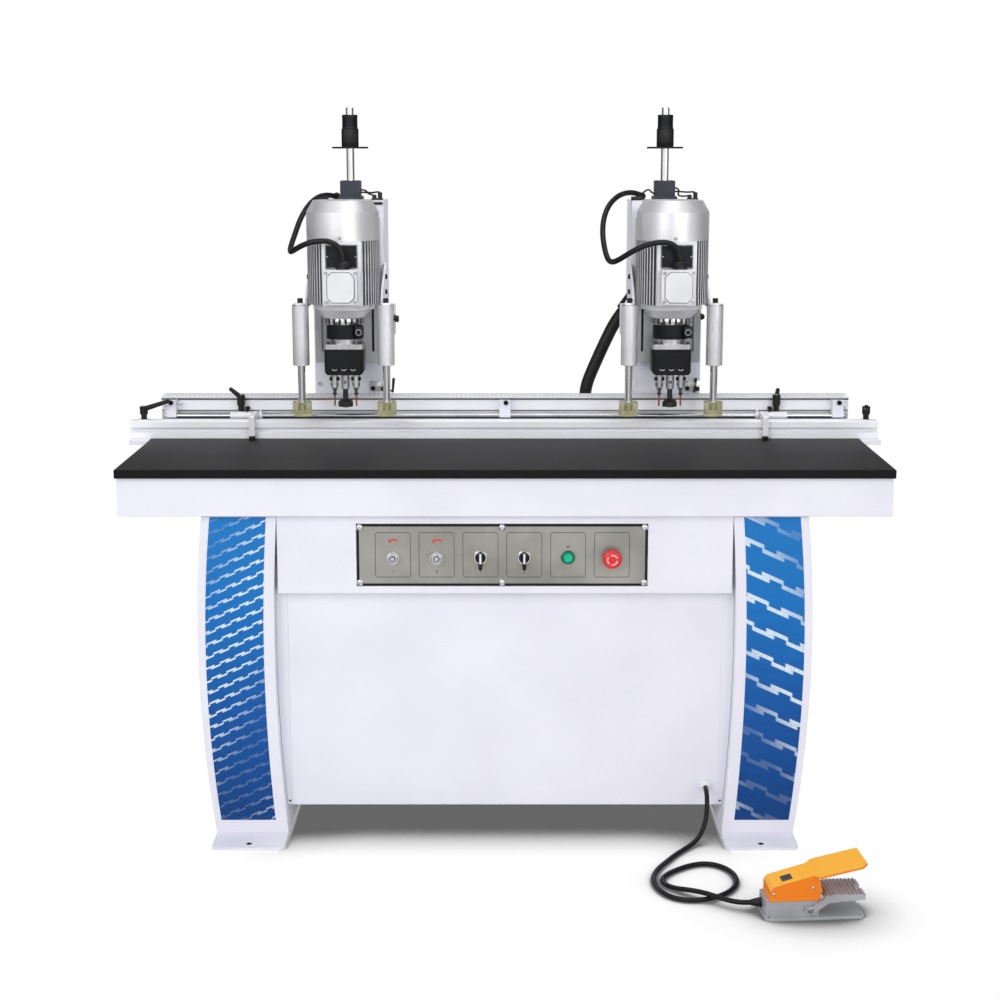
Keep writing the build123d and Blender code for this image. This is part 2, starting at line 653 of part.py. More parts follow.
def clamp_lever(name, foot, foot_z, hub_z, stud_z, stud_r, reach):
    """An adjustable clamp lever: stud, hub and a rising tapered arm."""
    x, y = foot
    root_z = hub_z[1] - LEVER_ARM_R[0]
    tip = (x + reach[0], y + reach[1], root_z + reach[2])
    with BuildPart() as lever:
        post(x, y, stud_z, stud_r)
        post(x, y, foot_z, LEVER_FOOT_R)
        post(x, y, (hub_z[0], hub_z[0] + LEVER_FLARE), LEVER_FOOT_R, LEVER_HUB_R)
        post(x, y, (hub_z[0] + LEVER_FLARE, hub_z[1]), LEVER_HUB_R)
        bar((x, y, root_z), tip, *LEVER_ARM_R)
        with Locations(tip):
            Sphere(LEVER_TIP_R)
        if stud_z[0] < TABLE_TOP:
            post(x, y, (stud_z[0], stud_z[0] + LEVER_NUT[0]), LEVER_NUT[1])
    save(lever, name)


# Clamp levers of the fence, one at each end
lever_foot_z = (FENCE_TOP + FENCE_WASHER + LEVER_GAP, FENCE_TOP + 12)
lever_hub_z = (FENCE_TOP + 11, FENCE_TOP + 31)
lever_stud_z = (TABLE_TOP - EAR_THICK - LEVER_NUT[0] - 1, FENCE_TOP + 3)
for side, place in (("left", -FENCE_BOLT_X), ("right", FENCE_BOLT_X)):
    clamp_lever(
        f"fence_lever_{side}", (place, fence_y), lever_foot_z, lever_hub_z, lever_stud_z, FENCE_BOLT_R,
        FENCE_LEVER_REACH[side],
    )

# Flip stops: a sleeve that slides on the rod, a clamp lever on it and an arm that swings about the rod
sleeve_top = ROD_Z + SLEEVE_R
for side, (arm_x, outward) in STOPS.items():
    near = arm_x + outward * (ARM_WIDTH / 2 + SLEEVE_GAP)
    far = near + outward * SLEEVE_LENGTH
    lever_x = arm_x + outward * STOP_LEVER_STEP
    knob_x = arm_x + outward * STOP_KNOB_STEP
    with BuildPart() as stop_sleeve:
        bar((near, ROD_Y, ROD_Z), (far, ROD_Y, ROD_Z), SLEEVE_R)
        post(lever_x, ROD_Y, (ROD_Z, sleeve_top + 1), STOP_BOSS_R)
        post(knob_x, ROD_Y, (ROD_Z, sleeve_top + 6), STOP_SCREW_R)
        post(knob_x, ROD_Y, (sleeve_top + 5, sleeve_top + 12), STOP_KNOB_R)
        stud_hole = (ROD_Z + ROD_R + 0.5, sleeve_top + 2)
        post(lever_x, ROD_Y, stud_hole, STOP_STUD_R + RUNNING, mode=Mode.SUBTRACT)
        rod_hole = ((near - outward, ROD_Y, ROD_Z), (far + outward, ROD_Y, ROD_Z))
        bar(*rod_hole, ROD_R + RUNNING, mode=Mode.SUBTRACT)
    save(stop_sleeve, f"stop_sleeve_{side}")
    clamp_lever(
        f"stop_lever_{side}", (lever_x, ROD_Y), (sleeve_top + 1 + LEVER_GAP, STOP_HUB_Z[0] + 2), STOP_HUB_Z,
        (ROD_Z + ROD_R + 1, sleeve_top + 2), STOP_STUD_R, STOP_LEVER_REACH[side],
    )
    with BuildPart() as stop_arm:
        with BuildSketch(Plane.YZ.offset(arm_x - ARM_WIDTH / 2)):
            with BuildLine():
                Polyline(
                    (ROD_Y, ROD_Z + ARM_RISE),
                    (ARM_FRONT + ARM_CUT, ROD_Z + ARM_RISE),
                    (ARM_FRONT, ROD_Z + ARM_RISE - ARM_CUT),
                    (ARM_FRONT, TABLE_TOP + ARM_GAP),
                    (ARM_FRONT + ARM_TIP, TABLE_TOP + ARM_GAP),
                    (ARM_FRONT + ARM_TIP, ROD_Z - ARM_DROP),
                    (ROD_Y, ROD_Z - ARM_DROP),
                    close=True,
                )
            make_face()
            with Locations((ROD_Y, ROD_Z)):
                Circle(ARM_HUB_R)
                Circle(ROD_R + RUNNING, mode=Mode.SUBTRACT)
        extrude(amount=ARM_WIDTH)
    save(stop_arm, f"stop_arm_{side}")


def column(side, cx):
    """Head column: a sheet box on the guide ways, with linear guides and the clamp cylinders' brackets."""
    inside_x = (cx - COLUMN_HALF + COLUMN_WALL, cx + COLUMN_HALF - COLUMN_WALL)
    inside_y = (COLUMN_FRONT + COLUMN_WALL, COLUMN_BACK - COLUMN_WALL)
    with BuildPart() as piece:
        block((cx - COLUMN_HALF, cx + COLUMN_HALF), (COLUMN_FRONT, COLUMN_BACK), (COLUMN_BASE, COLUMN_TOP))
        inside_z = (COLUMN_BASE + COLUMN_FLOOR, COLUMN_TOP - COLUMN_WALL)
        block(inside_x, inside_y, inside_z, mode=Mode.SUBTRACT)
        for guide_y in GUIDE_Y:
            half = GUIDE_WIDTH / 2 + SLIDING
            block(
                (cx - COLUMN_HALF - 1, cx + COLUMN_HALF + 1),
                (guide_y - half, guide_y + half),
                (COLUMN_BASE - 1, GUIDE_TOP),
                mode=Mode.SUBTRACT,
            )
        slot_half, slot_below, slot_above = COLUMN_SLOT
        block(
            (cx - slot_half, cx + slot_half),
            (COLUMN_FRONT - 1, COLUMN_FRONT + COLUMN_WALL + 1),
            (ARM_Z[0] - slot_below, ARM_Z[1] + slot_above),
            mode=Mode.SUBTRACT,
        )
        barrel_hole = (COLUMN_TOP - 2 * COLUMN_WALL, COLUMN_TOP + 1)
        post(cx, FEED_Y, barrel_hole, FEED_BARREL_R + SLIDING, mode=Mode.SUBTRACT)
        for hand in (-1, 1):
            guide_x = cx + hand * LINEAR_X
            block(
                (guide_x - LINEAR_HALF, guide_x + LINEAR_HALF),
                (COLUMN_FRONT - LINEAR_DEPTH, COLUMN_FRONT),
                (LINEAR_BOTTOM, SLIDE_TOP),
            )
            inner = cx + hand * COLUMN_HALF
            with BuildSketch(Plane.YZ.offset(inner)):
                with BuildLine():
                    Polyline(*GUSSET, close=True)
                make_face()
            extrude(amount=hand * GUSSET_THICK)
            clamp_x = cx + hand * CLAMP_X
            block((inner, clamp_x + hand * SEAT_REACH), SEAT_Y, SEAT_Z)
            tube_hole = (SEAT_Z[0] - 10, SEAT_Z[1] + 20)
            post(clamp_x, CLAMP_Y, tube_hole, CLAMP_TUBE_R + 0.1, mode=Mode.SUBTRACT)
        gland_x, gland_y, gland_z = CABLE_ROUTES[side][-1]
        gland_front = (cx + gland_x, gland_y, gland_z)
        bar(gland_front, (cx + gland_x, gland_y + COLUMN_GLAND_LENGTH, gland_z), COLUMN_GLAND_R)
        if side == "right":
            tip = Vector(*HOSE_ROUTE[-1])
            direction = (tip - Vector(*HOSE_ROUTE[-2])).normalized()
            bar(tuple(tip), tuple(tip + direction * HOSE_FITTING[0]), HOSE_D / 2 + HOSE_FITTING[1])
            block((inside_x[0], cx), inside_y, HOSE_FITTING_Z, mode=Mode.SUBTRACT)
    save(piece, f"{side}_column")


def feed_cylinder(side, cx):
    """Feed cylinder: flange on the column top, square head above it and barrel below."""
    half_x, half_y, thick = FEED_FLANGE
    head_x = (cx - FEED_HEAD_HALF, cx + FEED_HEAD_HALF)
    head_y = (FEED_Y - FEED_HEAD_HALF, FEED_Y + FEED_HEAD_HALF)
    with BuildPart() as piece:
        flange_y = (FEED_Y - half_y, FEED_Y + half_y)
        block((cx - half_x, cx + half_x), flange_y, (COLUMN_TOP, COLUMN_TOP + thick))
        block(head_x, head_y, (COLUMN_TOP + thick, FEED_HEAD_TOP))
        post(cx, FEED_Y, (FEED_BARREL_BOTTOM, COLUMN_TOP), FEED_BARREL_R)
        rod_hole = (FEED_BARREL_BOTTOM - 1, FEED_HEAD_TOP + 1)
        post(cx, FEED_Y, rod_hole, FEED_ROD_R + RUNNING, mode=Mode.SUBTRACT)
    save(piece, f"{side}_feed_cylinder")


def feed_rod(side, cx):
    """Feed rod: a through rod from the drive arm to above the depth stop."""
    with BuildPart() as piece:
        post(cx, FEED_Y, (ARM_Z[1], FEED_ROD_TOP), FEED_ROD_R)
        chamfer(piece.edges().group_by(Axis.Z)[-1], 1.5)
    save(piece, f"{side}_feed_rod")


def depth_stop(side, cx):
    """Depth stop: a disc and a stepped sleeve on the feed rod."""
    with BuildPart() as piece:
        for (bottom, radius), (top, _) in zip(DEPTH_STEPS, DEPTH_STEPS[1:]):
            post(cx, FEED_Y, (bottom, top), radius)
        chamfer(piece.edges().group_by(Axis.Z)[-1], 1)
        rod_hole = (DEPTH_STEPS[0][0] - 1, DEPTH_STEPS[-1][0] + 1)
        post(cx, FEED_Y, rod_hole, FEED_ROD_R + RUNNING, mode=Mode.SUBTRACT)
    save(piece, f"{side}_depth_stop")


def slide_plate(side, cx):
    """Slide plate: runs on the linear guides, holds the drill unit's collar and reaches to the feed rod."""
    with BuildPart() as piece:
        block((cx - SLIDE_HALF, cx + SLIDE_HALF), (SLIDE_FRONT, SLIDE_BACK), (SLIDE_BOTTOM, SLIDE_TOP))
        block((cx - ARM_HALF, cx + ARM_HALF), (SLIDE_BACK, FEED_Y + ARM_HALF), ARM_Z)
        block((cx - BRACKET_HALF, cx + BRACKET_HALF), (DRILL_Y, SLIDE_FRONT), BRACKET_Z)
        post(cx, DRILL_Y, (BRACKET_Z[0] - 1, BRACKET_Z[1] + 1), COLLAR_R + 0.1, mode=Mode.SUBTRACT)
        for hand in (-1, 1):
            guide_x = cx + hand * LINEAR_X
            shoe_x = (guide_x - SHOE_HALF, guide_x + SHOE_HALF)
            for shoe_z in SHOE_Z:
                block(shoe_x, (SLIDE_BACK, COLUMN_FRONT - SHOE_GAP), shoe_z)
            half = LINEAR_HALF + SLIDING
            block(
                (guide_x - half, guide_x + half),
                (COLUMN_FRONT - LINEAR_DEPTH - SLIDING, COLUMN_FRONT),
                (SLIDE_BOTTOM, SLIDE_TOP + 1),
                mode=Mode.SUBTRACT,
            )
            slot_x = cx + hand * SLIDE_SLOT_X
            block(
                (slot_x - SLIDE_SLOT_HALF, slot_x + SLIDE_SLOT_HALF),
                (SLIDE_FRONT - 1, SLIDE_FRONT + SLIDE_SLOT_DEPTH),
                SLIDE_SLOT_Z,
                mode=Mode.SUBTRACT,
            )
    save(piece, f"{side}_slide_plate")


def motor_housing(side, cx):
    """Motor housing: finned hollow body on a tapered flange, with the terminal box and its cable gland."""
    fin_root = MOTOR_CORE_R - 1
    with BuildPart() as piece:
        with BuildSketch(Plane.XY.offset(MOTOR_Z[0])):
            with Locations((cx, DRILL_Y)):
                Circle(MOTOR_CORE_R)
                with PolarLocations((fin_root + MOTOR_R) / 2, FIN_COUNT):
                    Rectangle(MOTOR_R - fin_root, FIN_WIDTH)
            with Locations((cx + TERMINAL_SHIFT, DRILL_Y - MOTOR_R / 2)):
                Rectangle(MOTOR_PAD, MOTOR_R + 1)
        extrude(amount=MOTOR_Z[1] - MOTOR_Z[0])
        post(cx, DRILL_Y, (FLANGE_Z[1], MOTOR_Z[0]), FLANGE_R[2])
        post(cx, DRILL_Y, FLANGE_Z, FLANGE_R[0], FLANGE_R[1])
        lug_x, lug_half_x, lug_half_y, lug_height = FLANGE_LUG
        for hand in (-1, 1):
            middle = cx + hand * lug_x
            block(
                (middle - lug_half_x, middle + lug_half_x),
                (DRILL_Y - lug_half_y, DRILL_Y + lug_half_y),
                (FLANGE_Z[1], FLANGE_Z[1] + lug_height),
            )
        post(cx, DRILL_Y, MOTOR_BORE_Z, MOTOR_BORE_R, mode=Mode.SUBTRACT)
        shaft_hole = (FLANGE_Z[0] - 1, MOTOR_Z[1] + 1)
        post(cx, DRILL_Y, shaft_hole, ROTOR_SHAFT_R + SHAFT_ROOM, mode=Mode.SUBTRACT)
        with BuildSketch(Plane.XZ.offset(-TERMINAL_FRONT)):
            with Locations((cx + TERMINAL_SHIFT, (TERMINAL_Z[0] + TERMINAL_Z[1]) / 2)):
                RectangleRounded(TERMINAL_WIDTH, TERMINAL_Z[1] - TERMINAL_Z[0], TERMINAL_CORNER)
        extrude(amount=-(DRILL_Y - MOTOR_R - TERMINAL_FRONT + 2))
        gland_x, gland_y = CABLE_GLAND
        gland_neck = CABLE_GLAND_TOP - 4
        post(cx + gland_x, gland_y, (TERMINAL_Z[1] - 2, gland_neck), CABLE_GLAND_R)
        post(cx + gland_x, gland_y, (gland_neck, CABLE_GLAND_TOP), CABLE_GLAND_R, CABLE_D / 2 + 2)
    save(piece, f"{side}_motor_housing")


def fan_cover(side, cx):
    """Fan cover: a thin shell with a chamfered, slotted top."""
    slope = COVER_WALL * (COVER_R - COVER_TOP_R) / (COVER_TOP - COVER_SHOULDER)
    with BuildPart() as piece:
        with BuildSketch(Plane.XZ.offset(-DRILL_Y)):
            with BuildLine():
                Polyline(
                    (cx + COVER_R - COVER_WALL, MOTOR_Z[1]),
                    (cx + COVER_R, MOTOR_Z[1]),
                    (cx + COVER_R, COVER_SHOULDER),
                    (cx + COVER_TOP_R, COVER_TOP),
                    (cx, COVER_TOP),
                    (cx, COVER_TOP - COVER_WALL),
                    (cx + COVER_TOP_R - slope, COVER_TOP - COVER_WALL),
                    (cx + COVER_R - COVER_WALL, COVER_SHOULDER - slope / 2),
                    close=True,
                )
            make_face()
        revolve(axis=Axis((cx, DRILL_Y, 0), (0, 0, 1)))
        slot_radius, slot_length, slot_width = COVER_SLOT
        with BuildSketch(Plane.XY.offset(COVER_TOP - COVER_WALL - 1)):
            with Locations((cx, DRILL_Y)):
                with PolarLocations(slot_radius, COVER_SLOTS):
                    SlotOverall(slot_length, slot_width)
        extrude(amount=COVER_WALL + 2, mode=Mode.SUBTRACT)
    save(piece, f"{side}_fan_cover")


def drill_box(side, cx):
    """Drill box: hollow gear case, top plate, clamp collar and spigot."""
    plate_edge, plate_thick = BOX_PLATE
    with BuildPart() as piece:
        case_height = BOX_Z[1] - BOX_Z[0]
        for bottom, height, edge in ((BOX_Z[0], case_height, 0), (BOX_Z[1], plate_thick, plate_edge)):
            with BuildSketch(Plane.XY.offset(bottom)):
                with Locations((cx, DRILL_Y)):
                    RectangleRounded(2 * (BOX_HALF[0] + edge), 2 * (BOX_HALF[1] + edge), BOX_CORNER)
            extrude(amount=height)
        for hand in (-1, 1):
            edge_x = cx + hand * BOX_HALF[0]
            with BuildSketch(Plane.XZ.offset(-DRILL_Y - BOX_HALF[1] - 1)):
                with BuildLine():
                    Polyline(
                        (edge_x - hand * (BOX_CUT + 1), BOX_Z[0] - 1),
                        (edge_x + hand, BOX_Z[0] - 1),
                        (edge_x + hand, BOX_Z[0] + BOX_CUT + 1),
                        close=True,
                    )
                make_face()
            extrude(amount=2 * BOX_HALF[1] + 2, mode=Mode.SUBTRACT)
        post(cx, DRILL_Y, (BOX_Z[1] + plate_thick, COLLAR_Z[0]), SPIGOT_R)
        post(cx, DRILL_Y, COLLAR_Z, COLLAR_R)
        post(cx, DRILL_Y, RING_Z, RING_R)
        room_x, room_y, room_floor, room_roof = BOX_ROOM
        block(
            (cx - room_x, cx + room_x),
            (DRILL_Y - room_y, DRILL_Y + room_y),
            (BOX_Z[0] + room_floor, BOX_Z[1] - room_roof),
            mode=Mode.SUBTRACT,
        )
        post(cx, DRILL_Y, (BOX_Z[0] - 1, RING_Z[1] + 1), SHAFT_R + SHAFT_ROOM, mode=Mode.SUBTRACT)
        side_hole = (BOX_Z[0] - 1, BOX_Z[0] + room_floor + 1)
        for hand in (-1, 1):
            x = cx + hand * SPINDLE_STEP
            post(x, DRILL_Y, side_hole, SIDE_SHAFT_R + SHAFT_ROOM, mode=Mode.SUBTRACT)
    save(piece, f"{side}_drill_box")


def spindle_center(side, cx):
    """Centre spindle: motor rotor and fan above, gear in the drill box, hinge-cup bit below."""
    steps = [
        (0, BIT_TIP - 2), (1.5, BIT_TIP), (CUP_R, BIT_TIP), (CUP_R, BIT_TIP + 9),
        (10, BIT_TIP + 15), (6, BIT_TIP + 18), (6, CENTER_CHUCK_Z[0]),
        (CENTER_CHUCK_R, CENTER_CHUCK_Z[0]), (CENTER_CHUCK_R, CENTER_CHUCK_Z[1]),
        (SHAFT_R, CENTER_CHUCK_Z[1] + 2), (SHAFT_R, GEAR_Z[0]), (GEAR_R, GEAR_Z[0]), (GEAR_R, GEAR_Z[1]),
        (SHAFT_R, GEAR_Z[1]), (SHAFT_R, RING_Z[1]), (ROTOR_SHAFT_R, RING_Z[1] + 4),
        (ROTOR_SHAFT_R, ROTOR_Z[0]), (ROTOR_R, ROTOR_Z[0]), (ROTOR_R, ROTOR_Z[1]),
        (ROTOR_SHAFT_R, ROTOR_Z[1]), (ROTOR_SHAFT_R, FAN_Z[0]), (FAN_R, FAN_Z[0]),
        (FAN_R, FAN_Z[1]), (FAN_HUB_R, FAN_Z[1]), (FAN_HUB_R, FAN_Z[2]), (0, FAN_Z[2]),
    ]
    blade_length, blade_height = FAN_R - FAN_HUB_R + 1, FAN_Z[2] - FAN_Z[1]
    blade_middle = (FAN_R + FAN_HUB_R) / 2 - 1.5
    with BuildPart() as piece:
        with BuildSketch(Plane.XZ.offset(-DRILL_Y)):
            with BuildLine():
                Polyline(*((cx + radius, z) for radius, z in steps), close=True)
            make_face()
        revolve(axis=Axis((cx, DRILL_Y, 0), (0, 0, 1)))
        for blade in range(FAN_BLADES):
            turn = 360 / FAN_BLADES * blade
            x = cx + blade_middle * cos(radians(turn))
            y = DRILL_Y + blade_middle * sin(radians(turn))
            with Locations(Location((x, y, FAN_Z[1] + blade_height / 2 - 1), (0, 0, turn))):
                Box(blade_length, 2, blade_height)
    save(piece, f"{side}_spindle_center")


def side_spindle(side, cx, hand, name):
    """Outer spindle: gear in the drill box, chuck and slim bit."""
    x = cx + hand * SPINDLE_STEP
    nose = CHUCK_Z[0] - CHUCK_NOSE
    with BuildPart() as piece:
        post(x, DRILL_Y, (BIT_TIP, BIT_TIP + 2), 0.5, BIT_R)
        post(x, DRILL_Y, (BIT_TIP + 2, nose + 4), BIT_R)
        post(x, DRILL_Y, (nose, CHUCK_Z[0]), BIT_R + 1, CHUCK_R - 1)
        post(x, DRILL_Y, CHUCK_Z, CHUCK_R)
        post(x, DRILL_Y, (CHUCK_Z[1], GEAR_Z[0]), SIDE_SHAFT_R)
        post(x, DRILL_Y, GEAR_Z, GEAR_R)
    save(piece, f"{side}_{name}")


def clamp_cylinders(side, cx):
    """Clamp cylinders: two plain tubes with end caps and an air fitting on top."""
    bottom, top = CLAMP_TUBE_Z
    cone_height, cone_foot_r, cone_tip_r = CLAMP_CONE
    fitting_height, fitting_r = CLAMP_FITTING
    lower_cap, upper_cap = CLAMP_CAPS
    with BuildPart() as piece:
        for hand in (-1, 1):
            x = cx + hand * CLAMP_X
            post(x, CLAMP_Y, CLAMP_TUBE_Z, CLAMP_TUBE_R)
            post(x, CLAMP_Y, (top, top + cone_height), cone_foot_r, cone_tip_r)
            post(x, CLAMP_Y, (top + cone_height - 1, top + fitting_height), fitting_r)
            post(x, CLAMP_Y, (bottom + lower_cap, top - upper_cap), CLAMP_BORE_R, mode=Mode.SUBTRACT)
            rod_hole = (bottom - 1, bottom + lower_cap + 1)
            post(x, CLAMP_Y, rod_hole, CLAMP_ROD_R + RUNNING, mode=Mode.SUBTRACT)
    save(piece, f"{side}_clamp_cylinders")


def clamp_rods(side, cx):
    """Clamp rods with their pistons."""
    with BuildPart() as piece:
        for hand in (-1, 1):
            x = cx + hand * CLAMP_X
            post(x, CLAMP_Y, (PAD_Z[0] + PAD_SOCKET, PISTON_Z[0]), CLAMP_ROD_R)
            post(x, CLAMP_Y, PISTON_Z, PISTON_R)
    save(piece, f"{side}_clamp_rods")


def clamp_pads(side, cx):
    """Clamp pads: cast discs on the rod ends."""
    places = [cx - CLAMP_X, cx + CLAMP_X]
    with BuildPart() as piece:
        for x in places:
            post(x, CLAMP_Y, PAD_Z, PAD_R)
        chamfer(piece.edges().filter_by(GeomType.CIRCLE), PAD_EDGE)
        for x in places:
            socket = (PAD_Z[0] + PAD_SOCKET, PAD_Z[1] + 1)
            post(x, CLAMP_Y, socket, CLAMP_ROD_R + FIXED_FIT, mode=Mode.SUBTRACT)
    save(piece, f"{side}_clamp_pads")


# Boring heads
for head, centre in HEADS.items():
    column(head, centre)
    feed_cylinder(head, centre)
    feed_rod(head, centre)
    depth_stop(head, centre)
    slide_plate(head, centre)
    motor_housing(head, centre)
    fan_cover(head, centre)
    drill_box(head, centre)
    spindle_center(head, centre)
    side_spindle(head, centre, -1, "spindle_left")
    side_spindle(head, centre, 1, "spindle_right")
    clamp_cylinders(head, centre)
    clamp_rods(head, centre)
    clamp_pads(head, centre)
    cord(f"{head}_motor_cable", [(centre + x, y, z) for x, y, z in CABLE_ROUTES[head]], CABLE_D)

# Foot pedal, in its own frame on the floor
pedal_across = (cos(radians(PEDAL_TURN)), sin(radians(PEDAL_TURN)), 0)
PEDAL = Plane(origin=(*PEDAL_CENTRE, 0), x_dir=pedal_across, z_dir=(0, 0, 1))
PEDAL_SIDE = Plane(origin=PEDAL.origin, x_dir=PEDAL.x_dir, z_dir=-PEDAL.y_dir)

# Pedal base: plate and body box
with BuildPart() as pedal_base:
    with BuildSketch(PEDAL):
        RectangleRounded(2 * PEDAL_HALF[0], 2 * PEDAL_HALF[1], PEDAL_CORNER)
        hole_r, hole_inset = PEDAL_HOLE
        with GridLocations(2 * (PEDAL_HALF[0] - hole_inset), 2 * (PEDAL_HALF[1] - hole_inset), 2, 2):
            Circle(hole_r, mode=Mode.SUBTRACT)
    extrude(amount=PEDAL_PLATE)
    with BuildSketch(PEDAL.offset(PEDAL_PLATE)):
        with Locations((PEDAL_BODY_X, 0)):
            RectangleRounded(*PEDAL_BODY, PEDAL_CORNER / 2)
    extrude(amount=PEDAL_BODY_TOP - PEDAL_PLATE)
    with BuildSketch(PEDAL_SIDE.offset(PEDAL_HALF[1])):
        with Locations(PEDAL_PIVOT):
            Circle(PIVOT_R + RUNNING)
    extrude(amount=-2 * PEDAL_HALF[1], mode=Mode.SUBTRACT)
save(pedal_base, "pedal_base")

# Pedal guard: a sloping hood on the body whose plate reaches out over the treadle
plate_run = Vector(GUARD_PLATE_X[1] - GUARD_PLATE_X[0], GUARD_PLATE_Z[1] - GUARD_PLATE_Z[0])
plate_root = PEDAL.from_local_coords(Vector(GUARD_PLATE_X[0], 0, GUARD_PLATE_Z[0]))
plate_tip = PEDAL.from_local_coords(Vector(GUARD_PLATE_X[1], 0, GUARD_PLATE_Z[1]))
plate_along = plate_tip - plate_root
GUARD_PLATE = Plane(origin=plate_root, x_dir=plate_along, z_dir=plate_along.cross(PEDAL.y_dir))
with BuildPart() as pedal_guard:
    with BuildSketch(PEDAL_SIDE.offset(GUARD_HALF)):
        with BuildLine():
            Polyline(
                (-86, PEDAL_BODY_TOP), (-86, 58), (-80, 66), (6, 90), (6, 86), (14, 58),
                (9, PEDAL_BODY_TOP),
                close=True,
            )
        make_face()
    extrude(amount=-2 * GUARD_HALF)
    with BuildSketch(GUARD_PLATE):
        with BuildLine():
            Polyline(
                (0, -GUARD_HALF),
                (GUARD_CUT, -GUARD_PLATE_HALF),
                (plate_run.length - GUARD_CUT, -GUARD_PLATE_HALF),
                (plate_run.length, GUARD_CUT - GUARD_PLATE_HALF),
                (plate_run.length, GUARD_PLATE_HALF),
                (GUARD_CUT, GUARD_PLATE_HALF),
                (0, GUARD_HALF),
                close=True,
            )
        make_face()
    extrude(amount=GUARD_PLATE_THICK)
save(pedal_guard, "pedal_guard")

# Pedal treadle: ribbed plate, notched at its end, with side arms on the pivot pin
with BuildPart() as pedal_treadle:
    for arm_plane in (PEDAL_SIDE.offset(TREADLE_HALF), PEDAL_SIDE.offset(TREADLE_ARM - TREADLE_HALF)):
        with BuildSketch(arm_plane):
            with BuildLine():
                Polyline(
                    (-18, 26), (-20, 16), (-10, 12), (2, 16), (26, 33), (96, 38), (97, 48), (24, 46),
                    (-4, 27),
                    close=True,
                )
            make_face()
        extrude(amount=-TREADLE_ARM)
    with BuildSketch(PEDAL_SIDE.offset(TREADLE_HALF)):
        with BuildLine():
            Polyline((18, 41), (18, 47), (40, 50), (97, 48), (96, 42), (40, 44), close=True)
        make_face()
        for rib in range(TREADLE_RIBS):
            with Locations((RIB_FIRST[0] + RIB_STEP * rib, RIB_FIRST[1])):
                Rectangle(RIB_SIZE, RIB_SIZE)
    extrude(amount=-2 * TREADLE_HALF)
    with BuildSketch(PEDAL):
        with Locations((PEDAL_HALF[0], 0)):
            Rectangle(2 * (PEDAL_HALF[0] - TREADLE_NOTCH[0]), 2 * TREADLE_NOTCH[1])
    extrude(amount=2 * PEDAL_BODY_TOP, mode=Mode.SUBTRACT)
    with BuildSketch(PEDAL_SIDE.offset(TREADLE_HALF)):
        with Locations(PEDAL_PIVOT):
            Circle(PIVOT_R)
    extrude(amount=-2 * TREADLE_HALF)
save(pedal_treadle, "pedal_treadle")

# Cord glands: one on the cabinet front, one on the pedal's end
with BuildPart() as cord_glands:
    gland_x, gland_y, gland_z = FOOT_CORD_ROUTE[0]
    nut_y = CABINET_FRONT - CABINET_GLAND[0]
    bar((gland_x, CABINET_FRONT, gland_z), (gland_x, nut_y, gland_z), CABINET_GLAND[1])
    bar((gland_x, nut_y, gland_z), (gland_x, gland_y, gland_z), CABINET_GLAND[2], FOOT_CORD_D / 2 + 2)
    body_end = PEDAL_BODY_X - PEDAL_BODY[0] / 2
    root = PEDAL.from_local_coords(Vector(body_end, *PEDAL_GLAND))
    tip = PEDAL.from_local_coords(Vector(body_end - PEDAL_GLAND_LENGTH, *PEDAL_GLAND))
    bar(tuple(root), tuple(tip), FOOT_CORD_D, FOOT_CORD_D / 2 + 1)
save(cord_glands, "cord_glands")

cord("head_hose", HOSE_ROUTE, HOSE_D)
cord("foot_cord", FOOT_CORD_ROUTE, FOOT_CORD_D)
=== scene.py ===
import json
from math import cos, hypot, pi, radians, sin, sqrt

